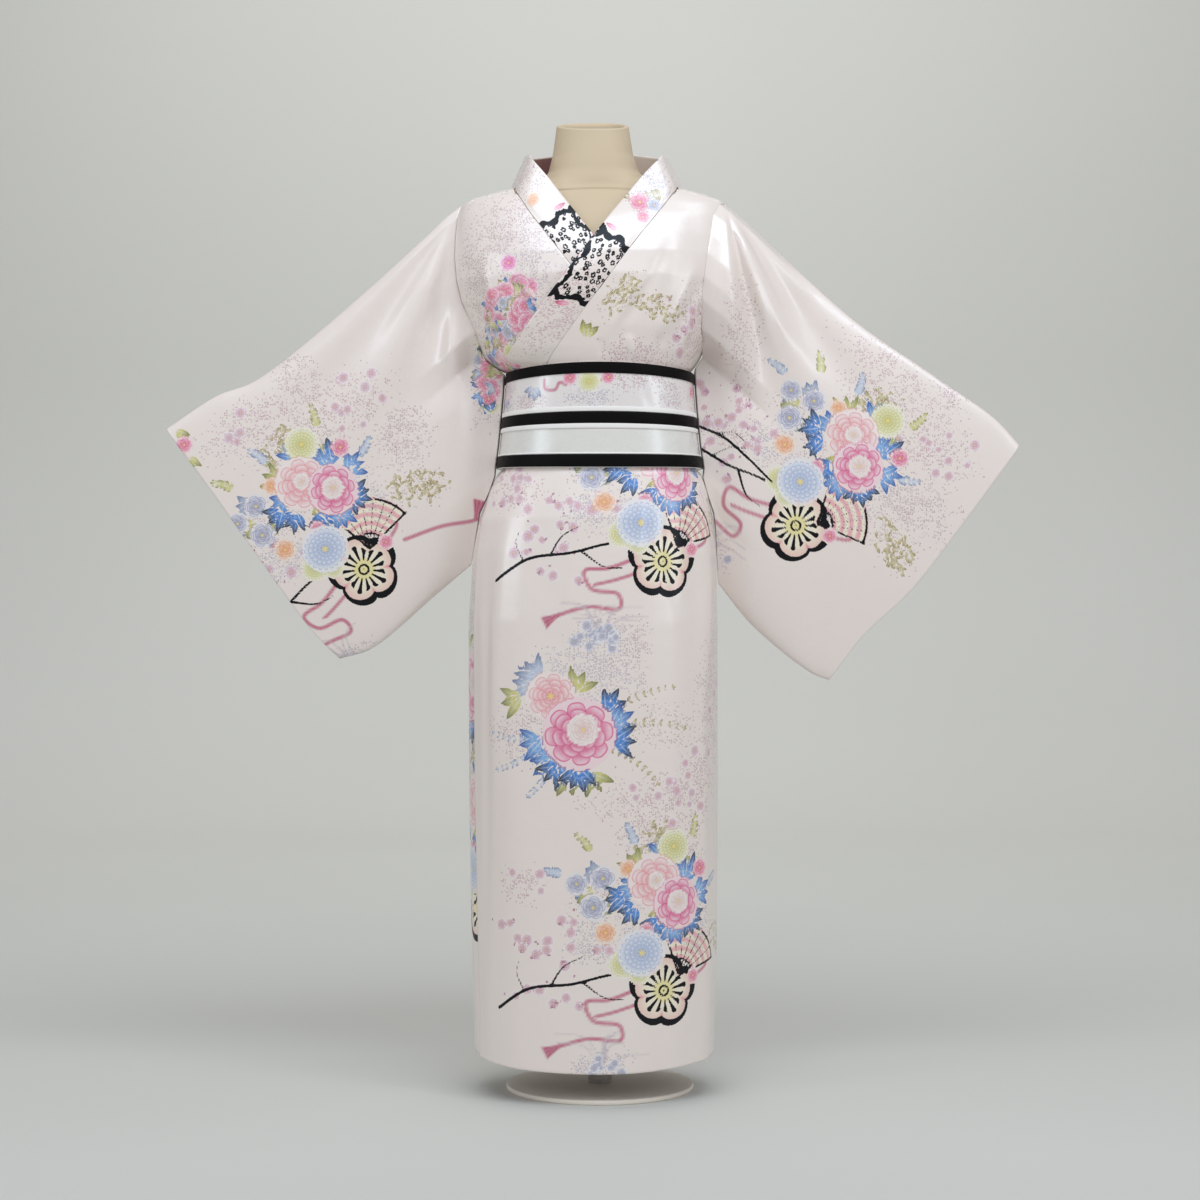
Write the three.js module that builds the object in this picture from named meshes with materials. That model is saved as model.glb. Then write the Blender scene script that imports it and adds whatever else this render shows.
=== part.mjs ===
// Satin kimono with a short striped obi, worn on a limbless dress form that stands on a pole and base.
// Millimetres, +Z up. The front faces -Y, and left and right are as seen from the front, so +X is right.
// The origin is the centre of the underside of the base.
import * as THREE from "three";

// ---- Driving dimensions -------------------------------------------------------------------------

const CLOTH = 1.6; // wall of the satin
const COLLAR_WALL = 2.4; // the collar is folded double
const SEAM = 0.5; // between the mid-surfaces of two pieces that are sewn edge to edge
const LIP = 0.9; // the same where a sleeve meets its armhole
const TURN = { gap: 0.8, from: 1295 }; // gap added from here up, where the collar turns upright
const LAP = 4.2; // from the under front to the over front, mid-surface to mid-surface
const SQUARENESS = 2.2; // exponent of the rounded sections, 2 is an ellipse

const HEM = 58; // height of the hem at the side seams
const HEM_DIP = 10; // how much lower the hem hangs in the middle of the front
const ARMHOLE_TOP = 1327;
const ARMHOLE_BOTTOM = 1130;
const NECK_Z = 1345; // neckline at the shoulder seams and round the back
const NAPE = 17; // how much higher the neckline is at the middle of the back
const NAPE_FROM = 1262; // the back panel is lifted towards the nape from here
const NECK_LIFT = 1.2; // the collar's seam stands this much over the neckline

// Body of the garment: reach of each level section from the axis, at the mid-surface of the under layer.
const BODY = [
  { z: 48, left: 187, right: 170, front: 150, back: 128 },
  { z: 200, left: 192, right: 175, front: 148, back: 128 },
  { z: 450, left: 196, right: 177, front: 144, back: 128 },
  { z: 700, left: 197, right: 176, front: 139, back: 130 },
  { z: 800, left: 190, right: 174, front: 134, back: 129 },
  { z: 850, left: 181, right: 170, front: 129, back: 125 },
  { z: 890, left: 165, right: 160, front: 119, back: 117 },
  { z: 914, left: 153, right: 151, front: 113, back: 111 },
  { z: 920, left: 145.4, right: 144.4, front: 111, back: 109.5 },
  { z: 1000, left: 137, right: 135, front: 106, back: 103 },
  { z: 1076, left: 131, right: 130, front: 107, back: 104 },
  { z: 1081, left: 147, right: 137, front: 109, back: 105 },
  { z: 1088, left: 158, right: 142, front: 111.5, back: 106.5 },
  { z: 1100, left: 173, right: 150, front: 115, back: 109 },
  { z: 1130, left: 189, right: 166, front: 120, back: 112 },
  { z: 1172, left: 210, right: 180, front: 124, back: 114 },
  { z: 1205, left: 218, right: 190, front: 125, back: 114 },
  { z: 1240, left: 221, right: 197, front: 117, back: 113 },
  { z: 1270, left: 220, right: 200, front: 106, back: 110 },
  { z: 1300, left: 217, right: 200, front: 92, back: 104 },
  { z: 1318, left: 210, right: 195, front: 83, back: 97 },
  { z: 1327, left: 199, right: 183, front: 78, back: 92 },
  { z: 1337, left: 166, right: 154, front: 72, back: 86 },
  { z: 1345, left: 131, right: 121, front: 66, back: 80 },
];
const LEVELS = [
  48, 130, 250, 400, 550, 700, 800, 850, 890, 914, 920, 960, 1000, 1040, 1076, 1081, 1088, 1100, 1130, 1172, 1205,
  1240, 1270, 1300, 1318, 1327, 1337, 1345,
];
const CHEST_TOP = 1300; // above this the chest under the collar keeps its width
const CHEST_NECK = { z: 1400, front: 34 }; // the chest's front leans back to here

// Where each front ends towards the middle: a seam with the collar down to COLLAR_END, a free edge below it.
const OVER_EDGE = [
  { z: 48, x: -177 },
  { z: 850, x: -172 },
  { z: 890, x: -158 },
  { z: 914, x: -137 },
  { z: 1000, x: -116 },
  { z: 1087, x: -71 },
  { z: 1154, x: -22 },
  { z: 1200, x: 12 },
  { z: 1262, x: 56 },
  { z: 1337, x: 113 },
  { z: 1345, x: 115 },
];
const UNDER_EDGE = [
  { z: 48, x: 100 },
  { z: 890, x: 98 },
  { z: 914, x: 96 },
  { z: 1000, x: 90 },
  { z: 1087, x: 55 },
  { z: 1225, x: -48 },
  { z: 1298, x: -102 },
  { z: 1337, x: -126 },
  { z: 1345, x: -125 },
];
const COLLAR_END = 1040;
const UNDER_COLLAR_END = 1130; // the under end is covered by the over front
const COLLAR_LEVEL = { low: 1130, high: 1205 }; // between these the lines across the collar turn from level
const COLLAR_CLEAR = 16; // the collar's free edge stays this far in from the side of the body
const COLLAR_WIDTH = 52;
const COLLAR_STEPS = 3; // cells across the collar
const COLLAR_STANDS = { low: 1285, high: 1345 }; // between these the collar turns from lying to standing
// The over collar's free part lies this much further out, over the fullness of the under front.
const COLLAR_LOFT = [
  { z: 1076, out: 0 },
  { z: 1088, out: 5 },
  { z: 1205, out: 4 },
  { z: 1270, out: 0 },
];
const STANDING = { in: 0.4, forward: 0.2, up: 0.91 }; // direction of the standing collar at the side and back
const UNDER_SLANT = { x: 0.802, z: 0.597 }; // direction across the lying collar, from its seam to its edge
const OVER_SLANT = { x: -0.798, z: 0.603 };
const LAP_ENDS = { x: [98, 146], z: [1285, 1330] }; // the over front comes down to the under level here

// Long soft folds down the skirt: angle from the right side seam round the front, width, height.
const SKIRT_FOLDS = [
  { angle: 0.5, width: 0.16, height: 4 },
  { angle: 1.05, width: 0.22, height: -3 },
  { angle: 2.2, width: 0.2, height: 3 },
  { angle: 2.72, width: 0.14, height: -3 },
];
const BACK_FOLDS = [
  { angle: 0.7, width: 0.2, height: 4 },
  { angle: 1.45, width: 0.25, height: -4 },
  { angle: 2.3, width: 0.2, height: 4 },
];
const FOLD_Z = { low: 700, high: 900 }; // the folds grow from high down to low

// Sleeves. Outlines are seen from the front, with out measured away from the axis.
// rim is the inner edge, from the shoulder down: front and back layer, and how far each lies off the middle.
const FURI = 14; // half of the gap at the open inner edge under the armhole
const LEFT_SLEEVE = {
  side: -1,
  top: [[199.8, 1327], [222, 1311], [255, 1280], [514, 1061], [576, 1036], [651, 987]],
  cuff: [[651, 987], [594, 911], [514, 800], [430, 684], [390, 642]],
  bottom: [[195, 783], [250, 735], [343, 657], [390, 642]],
  rim: [
    { z: 1327, front: 199.8, back: 199.8 },
    { z: 1318, front: 207, back: 207 },
    { z: 1300, front: 213, back: 213 },
    { z: 1270, front: 216, back: 216 },
    { z: 1240, front: 217, back: 217 },
    { z: 1205, front: 214, back: 214 },
    { z: 1172, front: 206, back: 206 },
    { z: 1130, front: 184, back: 184 },
    { z: 1100, front: 178, back: 178 },
    { z: 1088, front: 162, back: 162 },
    { z: 1076, front: 149, back: 149 },
    { z: 1040, front: 149, back: 149 },
    { z: 1000, front: 150.5, back: 150.5 },
    { z: 960, front: 154, back: 154 },
    { z: 914, front: 157.5, back: 157.5 },
    { z: 860, front: 184, back: 184 },
    { z: 783, front: 195, back: 195 },
  ],
};
const RIGHT_SLEEVE = {
  side: 1,
  top: [[183.8, 1327], [204, 1311], [381, 1150], [490, 1074], [594, 1001], [630, 962]],
  cuff: [[630, 962], [540, 841], [465, 745], [391, 674], [343, 610]],
  bottom: [[179, 755], [229, 692], [318, 620], [343, 610]],
  rim: [
    { z: 1327, front: 183.8, back: 183.8 },
    { z: 1318, front: 178, back: 190 },
    { z: 1300, front: 168, back: 194 },
    { z: 1270, front: 163, back: 194 },
    { z: 1240, front: 158, back: 192 },
    { z: 1205, front: 153, back: 186 },
    { z: 1172, front: 149, back: 177 },
    { z: 1130, front: 150, back: 164 },
    { z: 1100, front: 157, back: 159 },
    { z: 1076, front: 146, back: 146 },
    { z: 1040, front: 146, back: 146 },
    { z: 1000, front: 149, back: 149 },
    { z: 960, front: 152.5, back: 152.5 },
    { z: 914, front: 157, back: 157 },
    { z: 860, front: 175, back: 175 },
    { z: 755, front: 179, back: 179 },
  ],
};
const SLEEVE_STEPS = [0, 0.045, 0.1, 0.17, 0.25, 0.35, 0.47, 0.6, 0.74, 0.87, 1];
const SLEEVE_DEPTH = [
  { along: 0, half: 44 },
  { along: 0.3, half: 34 },
  { along: 0.7, half: 24 },
  { along: 1, half: 17 },
];
const SLEEVE_LEAST = 6; // half depth that is left in the deepest trough
const SLEEVE_ROUNDNESS = 0.4; // exponent of the sleeve's section, from its top edge to its bottom edge
const FOLD_FADE = { along: 0.12, edge: 1.6 }; // folds grow from the armhole and from the two edges
const LIP_REACH = 0.35; // part of the sleeve over which it leaves the shape of the armhole

// Folds fall from the shoulder point: steepness below level, width in the same degrees, height, reach.
const SLEEVE_FOLDS = {
  left: {
    front: [
      { angle: 86, width: 5, height: 12, from: 60, to: 520 },
      { angle: 76, width: 5, height: -8, from: 90, to: 480 },
      { angle: 66, width: 5, height: 7, from: 80, to: 420 },
      { angle: 54, width: 5, height: -5, from: 120, to: 560 },
    ],
    back: [
      { angle: 82, width: 6, height: 10, from: 60, to: 480 },
      { angle: 70, width: 5, height: -7, from: 90, to: 460 },
      { angle: 58, width: 6, height: 7, from: 100, to: 520 },
    ],
  },
  right: {
    front: [
      { angle: 88, width: 7, height: 16, from: 40, to: 330 },
      { angle: 77, width: 4, height: -10, from: 70, to: 420 },
      { angle: 66, width: 6, height: 14, from: 40, to: 430 },
      { angle: 55, width: 4, height: -6, from: 90, to: 480 },
    ],
    back: [
      { angle: 84, width: 6, height: 10, from: 60, to: 420 },
      { angle: 71, width: 5, height: -8, from: 80, to: 480 },
      { angle: 60, width: 6, height: 9, from: 90, to: 500 },
    ],
  },
};

// Obi: outer faces of the band and, on it, the ribbons and trims, each from bottom to top.
const OBI = [
  { z: 922.5, left: 154, right: 153, front: 119.8, back: 114.5 },
  { z: 979, left: 148, right: 146, front: 116, back: 109.5 },
  { z: 1077, left: 140, right: 139, front: 115.8, back: 108.8 },
];
const OBI_WALL = 2.2;
const OBI_COLUMNS = 28;
const RIBBON_WALL = 1;
const RIBBON_GAP = 0.3;
const OBI_SAG = { bottom: -3, top: 9 }; // the obi's edges lie this much lower at the sides
const RIBBONS = [
  { name: "obi_ribbon_bottom", low: 923.5, high: 942, colour: 0x101012 },
  { name: "obi_trim_base", low: 942.4, high: 945, colour: 0xf2f0ec },
  { name: "obi_trim_lower", low: 980, high: 987, colour: 0xf2f0ec },
  { name: "obi_ribbon_middle", low: 987.4, high: 1004.5, colour: 0x101012 },
  { name: "obi_trim_upper", low: 1004.9, high: 1012, colour: 0xf2f0ec },
  { name: "obi_ribbon_top", low: 1060, high: 1076.5, colour: 0x101012 },
];

// Dress form: level sections from the bottom of the torso to the top of the neck.
const FORM = [
  { z: 768, left: 138, right: 138, front: 88, back: 92 },
  { z: 782, left: 152, right: 152, front: 102, back: 106 },
  { z: 850, left: 158, right: 156, front: 112, back: 112 },
  { z: 930, left: 138, right: 137, front: 102, back: 100 },
  { z: 1010, left: 124, right: 122, front: 94, back: 90 },
  { z: 1080, left: 125, right: 123, front: 98, back: 94 },
  { z: 1150, left: 146, right: 138, front: 112, back: 102 },
  { z: 1205, left: 172, right: 152, front: 117, back: 104 },
  { z: 1250, left: 196, right: 178, front: 106, back: 102 },
  { z: 1290, left: 205, right: 189, front: 88, back: 97 },
  { z: 1312, left: 201, right: 186, front: 77, back: 90 },
  { z: 1326.7, left: 187, right: 172, front: 70, back: 82 },
  { z: 1336.7, left: 158, right: 146, front: 65, back: 76 },
  { z: 1344.6, left: 124, right: 114, front: 62, back: 70 },
  { z: 1354, left: 92, right: 78, front: 61, back: 64 },
  { z: 1368, left: 78, right: 60, front: 58, back: 60 },
  { z: 1395, left: 71, right: 50, front: 55, back: 57 },
  { z: 1440, left: 65, right: 43, front: 51, back: 53 },
];
const NECK_TILT = { slope: 0.28, from: 1380 }; // the neck's top leans forward
const RECESS = { rim: 7, depth: 8 };
const FORM_COLUMNS = 28;
const CAP = { gap: 0.6, height: 3 };
const POLE_RADIUS = 18;
const FLANGE = { radius: 44, height: 8 };
const BASE = { radius: 140, height: 7, chamfer: 2.5 };
const TURNS = 40; // sides of the pole and base
const SEAT = 0.3;

const COLOURS = { satin: 0xe6ddd9, lilac: 0xd9cfd2, white: 0xf2f0ec, linen: 0xe4d3b6, steel: 0xb9bcc0 };

// ---- Small helpers ------------------------------------------------------------------------------

const clamp = (value, low, high) => Math.min(high, Math.max(low, value));
const mix = (a, b, part) => a + (b - a) * part;

function smooth(low, high, value) {
  const part = clamp((value - low) / (high - low), 0, 1);
  return part * part * (3 - 2 * part);
}

// Value of a table's column at a place between its rows.
function read(table, key, column, place) {
  const last = table.length - 1;
  if (place <= table[0][key]) return table[0][column];
  if (place >= table[last][key]) return table[last][column];
  const i = table.findIndex((row) => row[key] > place) - 1;
  const part = (place - table[i][key]) / (table[i + 1][key] - table[i][key]);
  return mix(table[i][column], table[i + 1][column], part);
}

// ---- Sections of the body -----------------------------------------------------------------------

const POWER = 2 / SQUARENESS;

// Point of a rounded section: angle runs from 0 at the right side to PI at the left side.
function section(table, angle, z, back, grow = 0) {
  const cosine = Math.cos(angle);
  const side = read(table, "z", cosine > 0 ? "right" : "left", z) + grow;
  const depth = read(table, "z", back ? "back" : "front", z) + grow;
  const x = Math.sign(cosine) * side * Math.abs(cosine) ** POWER;
  const y = (back ? 1 : -1) * depth * Math.abs(Math.sin(angle)) ** POWER;
  return new THREE.Vector3(x, y, z);
}

function angleAtX(x, z) {
  const side = read(BODY, "z", x > 0 ? "right" : "left", z);
  const turn = Math.acos(clamp(Math.abs(x) / side, 0, 1) ** (1 / POWER));
  return x > 0 ? turn : Math.PI - turn;
}

// Angle at which the section lies a given distance off the line between the side seams.
function angleAtDepth(depth, z, back, left) {
  const reach = read(BODY, "z", back ? "back" : "front", z);
  const turn = Math.asin((depth / reach) ** (1 / POWER));
  return left ? Math.PI - turn : turn;
}

function foldHeight(folds, angle, z) {
  const grown = 1 - smooth(FOLD_Z.low, FOLD_Z.high, z);
  const total = folds.reduce((sum, fold) => {
    return sum + fold.height * Math.exp(-(((angle - fold.angle) / fold.width) ** 2));
  }, 0);
  return total * grown;
}

function lapAt(x, z) {
  const beside = 1 - smooth(LAP_ENDS.x[0], LAP_ENDS.x[1], x);
  const above = 1 - smooth(LAP_ENDS.z[0], LAP_ENDS.z[1], z);
  return LAP * beside * above;
}

function napeLift(angle, z) {
  return NAPE * Math.sin(angle) ** 2 * smooth(NAPE_FROM, NECK_Z, z);
}

// Point of the garment's body; the hem dips towards the middle of the front.
function bodyPoint(angle, z, back, over = false) {
  const folds = foldHeight(back ? BACK_FOLDS : SKIRT_FOLDS, angle, z);
  const plain = section(BODY, angle, z, back);
  const point = section(BODY, angle, z, back, folds + (over ? lapAt(plain.x, z) : 0));
  if (z <= LEVELS[0]) point.z = HEM - (back ? 0 : HEM_DIP * Math.sin(angle) ** 2);
  if (back) point.z += napeLift(angle, z);
  return point;
}

// ---- Closed meshes ------------------------------------------------------------------------------

function geometryFrom(points, faces) {
  const geometry = new THREE.BufferGeometry();
  const numbers = points.flatMap((p) => [p.x, p.y, p.z]);
  geometry.setAttribute("position", new THREE.Float32BufferAttribute(numbers, 3));
  geometry.setIndex(faces.flat());
  return geometry;
}

const quad = (a, b, c, d) => [[a, b, c], [a, c, d]];

function normalAt(rows, i, j, loop) {
  const count = rows[0].length;
  const wrap = (k) => (loop ? (k + count) % count : clamp(k, 0, count - 1));
  const across = rows[i][wrap(j + 1)].clone().sub(rows[i][wrap(j - 1)]);
  const along = rows[Math.min(i + 1, rows.length - 1)][j].clone().sub(rows[Math.max(i - 1, 0)][j]);
  return across.cross(along).normalize();
}

// A wall of even thickness on a grid of mid-surface points; loop joins each row's end to its start.
function wall(rows, thickness, loop = false) {
  const count = rows[0].length;
  const points = [];
  rows.forEach((row, i) => row.forEach((point, j) => {
    const step = normalAt(rows, i, j, loop).multiplyScalar(thickness / 2);
    points.push(point.clone().add(step), point.clone().sub(step));
  }));
  const outer = (i, j) => 2 * (i * count + (j % count));
  const inner = (i, j) => outer(i, j) + 1;
  const last = rows.length - 1;
  const cells = loop ? count : count - 1;
  const faces = [];
  for (let j = 0; j < cells; j += 1) {
    for (let i = 0; i < last; i += 1) {
      faces.push(...quad(outer(i, j), outer(i, j + 1), outer(i + 1, j + 1), outer(i + 1, j)));
      faces.push(...quad(inner(i, j), inner(i + 1, j), inner(i + 1, j + 1), inner(i, j + 1)));
    }
    faces.push(...quad(outer(0, j + 1), outer(0, j), inner(0, j), inner(0, j + 1)));
    faces.push(...quad(outer(last, j), outer(last, j + 1), inner(last, j + 1), inner(last, j)));
  }
  for (let i = 0; i < last && !loop; i += 1) {
    faces.push(...quad(outer(i, 0), outer(i + 1, 0), inner(i + 1, 0), inner(i, 0)));
    faces.push(...quad(outer(i + 1, cells), outer(i, cells), inner(i, cells), inner(i + 1, cells)));
  }
  return geometryFrom(points, faces);
}

// A solid through level rings, closed at both ends by fans.
function stack(rings) {
  const count = rings[0].length;
  const points = rings.flat();
  const faces = [];
  for (let i = 0; i + 1 < rings.length; i += 1) {
    for (let j = 0; j < count; j += 1) {
      const next = (j + 1) % count;
      faces.push(...quad(i * count + j, i * count + next, (i + 1) * count + next, (i + 1) * count + j));
    }
  }
  const middle = (ring) => ring.reduce((sum, p) => sum.add(p), new THREE.Vector3()).divideScalar(count);
  const bottom = points.push(middle(rings[0])) - 1;
  const top = points.push(middle(rings[rings.length - 1])) - 1;
  const start = (rings.length - 1) * count;
  for (let j = 0; j < count; j += 1) {
    const next = (j + 1) % count;
    faces.push([bottom, next, j], [top, start + j, start + next]);
  }
  return geometryFrom(points, faces);
}

// A full turn of a section, counter-clockwise from the right side, seen from above.
function ring(table, z, count, grow = 0) {
  return Array.from({ length: count }, (_, j) => {
    const turn = (2 * Math.PI * j) / count;
    const back = turn < Math.PI;
    return section(table, back ? turn : 2 * Math.PI - turn, z, back, grow);
  });
}

// ---- Fronts and back ----------------------------------------------------------------------------

// Angle of a panel's outer edge: the side seam, the armhole or the shoulder seam.
function sideAngle(z, back, left) {
  const sleeve = left ? LEFT_SLEEVE : RIGHT_SLEEVE;
  const inArmhole = z >= ARMHOLE_BOTTOM && z < ARMHOLE_TOP;
  if (!inArmhole) return angleAtDepth(SEAM / 2, z, back, left);
  const out = read([...sleeve.rim].reverse(), "z", back ? "back" : "front", z) - LIP;
  return angleAtX(sleeve.side * out, z);
}

function panel(columns, back, over, startAt, endAt) {
  return LEVELS.map((z) => Array.from({ length: columns + 1 }, (_, j) => {
    const angle = mix(startAt(z), endAt(z), j / columns);
    return bodyPoint(angle, z, back, over);
  }));
}

const collarSeam = (z) => SEAM + TURN.gap * smooth(TURN.from, ARMHOLE_TOP, z);
const overEdge = (z) => angleAtX(read(OVER_EDGE, "z", "x", z) + collarSeam(z), z);
const underEdge = (z) => angleAtX(read(UNDER_EDGE, "z", "x", z) - collarSeam(z), z);

const frontOver = () => wall(panel(15, false, true, (z) => sideAngle(z, false, false), overEdge), CLOTH);
const frontUnder = () => wall(panel(14, false, false, underEdge, (z) => sideAngle(z, false, true)), CLOTH);
const back = () => {
  const grid = panel(16, true, false, (z) => sideAngle(z, true, false), (z) => sideAngle(z, true, true));
  return wall(grid, CLOTH);
};

// ---- Collar -------------------------------------------------------------------------------------

// Depth of the chest under the collar, which goes on upwards inside the neckline.
function chestY(x, z, grow) {
  const level = Math.min(z, CHEST_TOP);
  const side = read(BODY, "z", x > 0 ? "right" : "left", level) + grow;
  const neckward = clamp((z - NECK_Z) / (CHEST_NECK.z - NECK_Z), 0, 1);
  const front = mix(read(BODY, "z", "front", z), CHEST_NECK.front, neckward) + grow;
  return -front * Math.max(0, 1 - (Math.abs(x) / side) ** SQUARENESS) ** (1 / SQUARENESS);
}

// One line across the collar in front, from its seam to its free edge.
function frontCollar(z, edge, slant, over) {
  const x = read(edge, "z", "x", z);
  const seam = bodyPoint(angleAtX(x, z), z, false, over);
  const standing = smooth(COLLAR_STANDS.low, COLLAR_STANDS.high, z);
  const level = over ? 1 - smooth(COLLAR_LEVEL.low, COLLAR_LEVEL.high, z) : 0;
  const way = Math.sign(slant.x);
  const direction = {
    x: mix(mix(slant.x, way * STANDING.in, standing), way, level),
    z: mix(slant.z, STANDING.up, standing) * (1 - level),
  };
  const turned = direction.x * slant.x + direction.z * slant.z;
  const across = level > 0 ? turned : Math.hypot(direction.x, direction.z);
  const room = Math.abs(way * (read(BODY, "z", way > 0 ? "right" : "left", z) - COLLAR_CLEAR) - seam.x);
  const most = level > 0 ? room / Math.abs(direction.x) : Infinity;
  const size = Math.min(COLLAR_WIDTH / across, most);
  const loft = over ? read(COLLAR_LOFT, "z", "out", z) : 0;
  return Array.from({ length: COLLAR_STEPS + 1 }, (_, k) => {
    const reach = (size * k) / COLLAR_STEPS;
    const px = seam.x + direction.x * reach;
    const pz = seam.z + direction.z * reach + (z >= NECK_Z ? NECK_LIFT : 0);
    const start = chestY(seam.x, seam.z, over ? lapAt(seam.x, seam.z) : 0);
    const y = seam.y + (1 - standing) * (chestY(px, pz, over ? lapAt(px, pz) : 0) - start);
    return new THREE.Vector3(px, y - loft * Math.min(1, (2 * k) / COLLAR_STEPS), pz);
  });
}

// One line across the collar round the back of the neck.
function backCollar(angle) {
  const seam = bodyPoint(angle, NECK_Z, true);
  const tall = COLLAR_WIDTH / Math.hypot(STANDING.in, STANDING.up);
  return Array.from({ length: COLLAR_STEPS + 1 }, (_, k) => {
    const reach = (tall * k) / COLLAR_STEPS;
    const px = seam.x - Math.cos(angle) * STANDING.in * reach;
    const py = seam.y - Math.sin(angle) * STANDING.forward * reach;
    return new THREE.Vector3(px, py, seam.z + NECK_LIFT + STANDING.up * reach);
  });
}

function collar() {
  const heights = LEVELS.filter((z) => z >= COLLAR_END);
  const turns = 12;
  const covered = heights.filter((z) => z >= UNDER_COLLAR_END);
  const under = covered.map((z) => frontCollar(z, UNDER_EDGE, UNDER_SLANT, false));
  const around = Array.from({ length: turns + 1 }, (_, j) => backCollar(Math.PI * (1 - j / turns)));
  const over = heights.reverse().map((z) => frontCollar(z, OVER_EDGE, OVER_SLANT, true));
  return wall([...under, ...around, ...over], COLLAR_WALL);
}

// ---- Sleeves ------------------------------------------------------------------------------------

function outline(points) {
  return new THREE.CatmullRomCurve3(points.map(([out, z]) => new THREE.Vector3(out, 0, z)));
}

// How far the rim of the sleeve lies off the middle, on the armhole above and at the open edge below.
function rimDepth(sleeve, i, back) {
  const { z } = sleeve.rim[i];
  if (i === 0 || i === sleeve.rim.length - 1) return 0;
  if (z < ARMHOLE_BOTTOM) return FURI;
  const out = sleeve.rim[i][back ? "back" : "front"];
  return Math.abs(bodyPoint(angleAtX(sleeve.side * out, z), z, back).y);
}

function sleeveFold(folds, sleeve, x, z) {
  const dx = x - sleeve.rim[0].front;
  const dz = sleeve.rim[0].z - z;
  const reach = Math.hypot(dx, dz);
  const steep = THREE.MathUtils.radToDeg(Math.atan2(dz, dx));
  return folds.reduce((sum, fold) => {
    const grown = smooth(0, fold.from, reach) * (1 - smooth(fold.from, fold.to, reach) ** 2);
    return sum + fold.height * grown * Math.exp(-(((steep - fold.angle) / fold.width) ** 2));
  }, 0);
}

function sleeveWall(sleeve, folds) {
  const top = outline(sleeve.top);
  const cuff = outline(sleeve.cuff);
  const bottom = outline(sleeve.bottom);
  const last = sleeve.rim.length - 1;
  const span = sleeve.rim[0].z - sleeve.rim[last].z;
  const corner = (s, t) => {
    const upper = mix(top.getPointAt(0).x, top.getPointAt(1).x, s);
    const lower = mix(bottom.getPointAt(0).x, bottom.getPointAt(1).x, s);
    const upperZ = mix(top.getPointAt(0).z, top.getPointAt(1).z, s);
    const lowerZ = mix(bottom.getPointAt(0).z, bottom.getPointAt(1).z, s);
    return { x: mix(upper, lower, t), z: mix(upperZ, lowerZ, t) };
  };
  const point = (s, i, back) => {
    const row = sleeve.rim[i];
    const t = (sleeve.rim[0].z - row.z) / span;
    const a = top.getPointAt(s);
    const b = bottom.getPointAt(s);
    const c = cuff.getPointAt(t);
    const flat = corner(s, t);
    const x = mix(a.x, b.x, t) + mix(row[back ? "back" : "front"], c.x, s) - flat.x;
    const z = mix(a.z, b.z, t) + mix(row.z, c.z, s) - flat.z;
    const lip = 1 - smooth(0, LIP_REACH, s);
    const profile = (4 * t * (1 - t)) ** SLEEVE_ROUNDNESS;
    const full = read(SLEEVE_DEPTH, "along", "half", s) * profile;
    const edgeFade = smooth(0, FOLD_FADE.along, s) * Math.min(1, profile * profile * FOLD_FADE.edge);
    const fold = sleeveFold(folds[back ? "back" : "front"], sleeve, x, z) * edgeFade;
    const plain = mix(full, rimDepth(sleeve, i, back), lip);
    const depth = profile === 0 ? 0 : Math.max(plain + fold, Math.min(plain, SLEEVE_LEAST));
    return new THREE.Vector3(sleeve.side * x, back ? depth : -depth, z);
  };
  const rows = SLEEVE_STEPS.map((s) => {
    const front = sleeve.rim.map((_, i) => point(s, i, false));
    const rear = sleeve.rim.map((_, i) => point(s, i, true)).slice(1, last).reverse();
    return [...front, ...rear];
  });
  return wall(rows, CLOTH, true);
}

// ---- Obi ----------------------------------------------------------------------------------------

// A level band round the obi, from its inner to its outer face, drawn down a little at the sides.
function obiBand(heights, outerGrow, thickness) {
  const rows = heights.map((z) => {
    const row = ring(OBI, z, OBI_COLUMNS, outerGrow - thickness / 2);
    const level = (z - OBI[0].z) / (OBI[OBI.length - 1].z - OBI[0].z);
    const sag = mix(OBI_SAG.bottom, OBI_SAG.top, level);
    const reach = Math.max(...row.map((p) => Math.abs(p.x)));
    row.forEach((p) => {
      p.z -= sag * (p.x / reach) ** 2;
    });
    return row;
  });
  return wall(rows, thickness, true);
}

// ---- Dress form ---------------------------------------------------------------------------------

function formRing(z, grow = 0, drop = 0) {
  const points = ring(FORM, z, FORM_COLUMNS, grow);
  const lean = NECK_TILT.slope * smooth(NECK_TILT.from, FORM[FORM.length - 1].z, z);
  points.forEach((p) => {
    p.z += lean * p.y - drop;
  });
  return points;
}

// The neck is open at the top: its rim goes round a shallow recess.
function formBody() {
  const { z } = FORM[FORM.length - 1];
  const outside = FORM.map((row) => formRing(row.z));
  return stack([...outside, formRing(z, -RECESS.rim), formRing(z, -RECESS.rim, RECESS.depth)]);
}

function formCap() {
  const { z } = FORM[FORM.length - 1];
  const grow = -RECESS.rim - CAP.gap;
  const floor = RECESS.depth - SEAT;
  return stack([formRing(z, grow, floor), formRing(z, grow, floor - CAP.height)]);
}

const lathe = (profile) => {
  const rings = profile.map(([radius, z]) => Array.from({ length: TURNS }, (_, j) => {
    const turn = (2 * Math.PI * j) / TURNS;
    return new THREE.Vector3(radius * Math.cos(turn), radius * Math.sin(turn), z);
  }));
  return stack(rings);
};

function formBase() {
  const { radius, height, chamfer } = BASE;
  return lathe([
    [radius, 0],
    [radius, height - chamfer],
    [radius - chamfer, height],
  ]);
}

function formPole() {
  const top = FORM[0].z - SEAT;
  return lathe([
    [POLE_RADIUS, BASE.height + SEAT],
    [POLE_RADIUS, top - FLANGE.height],
    [FLANGE.radius, top - FLANGE.height],
    [FLANGE.radius, top],
  ]);
}

// ---- The model ----------------------------------------------------------------------------------

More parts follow.
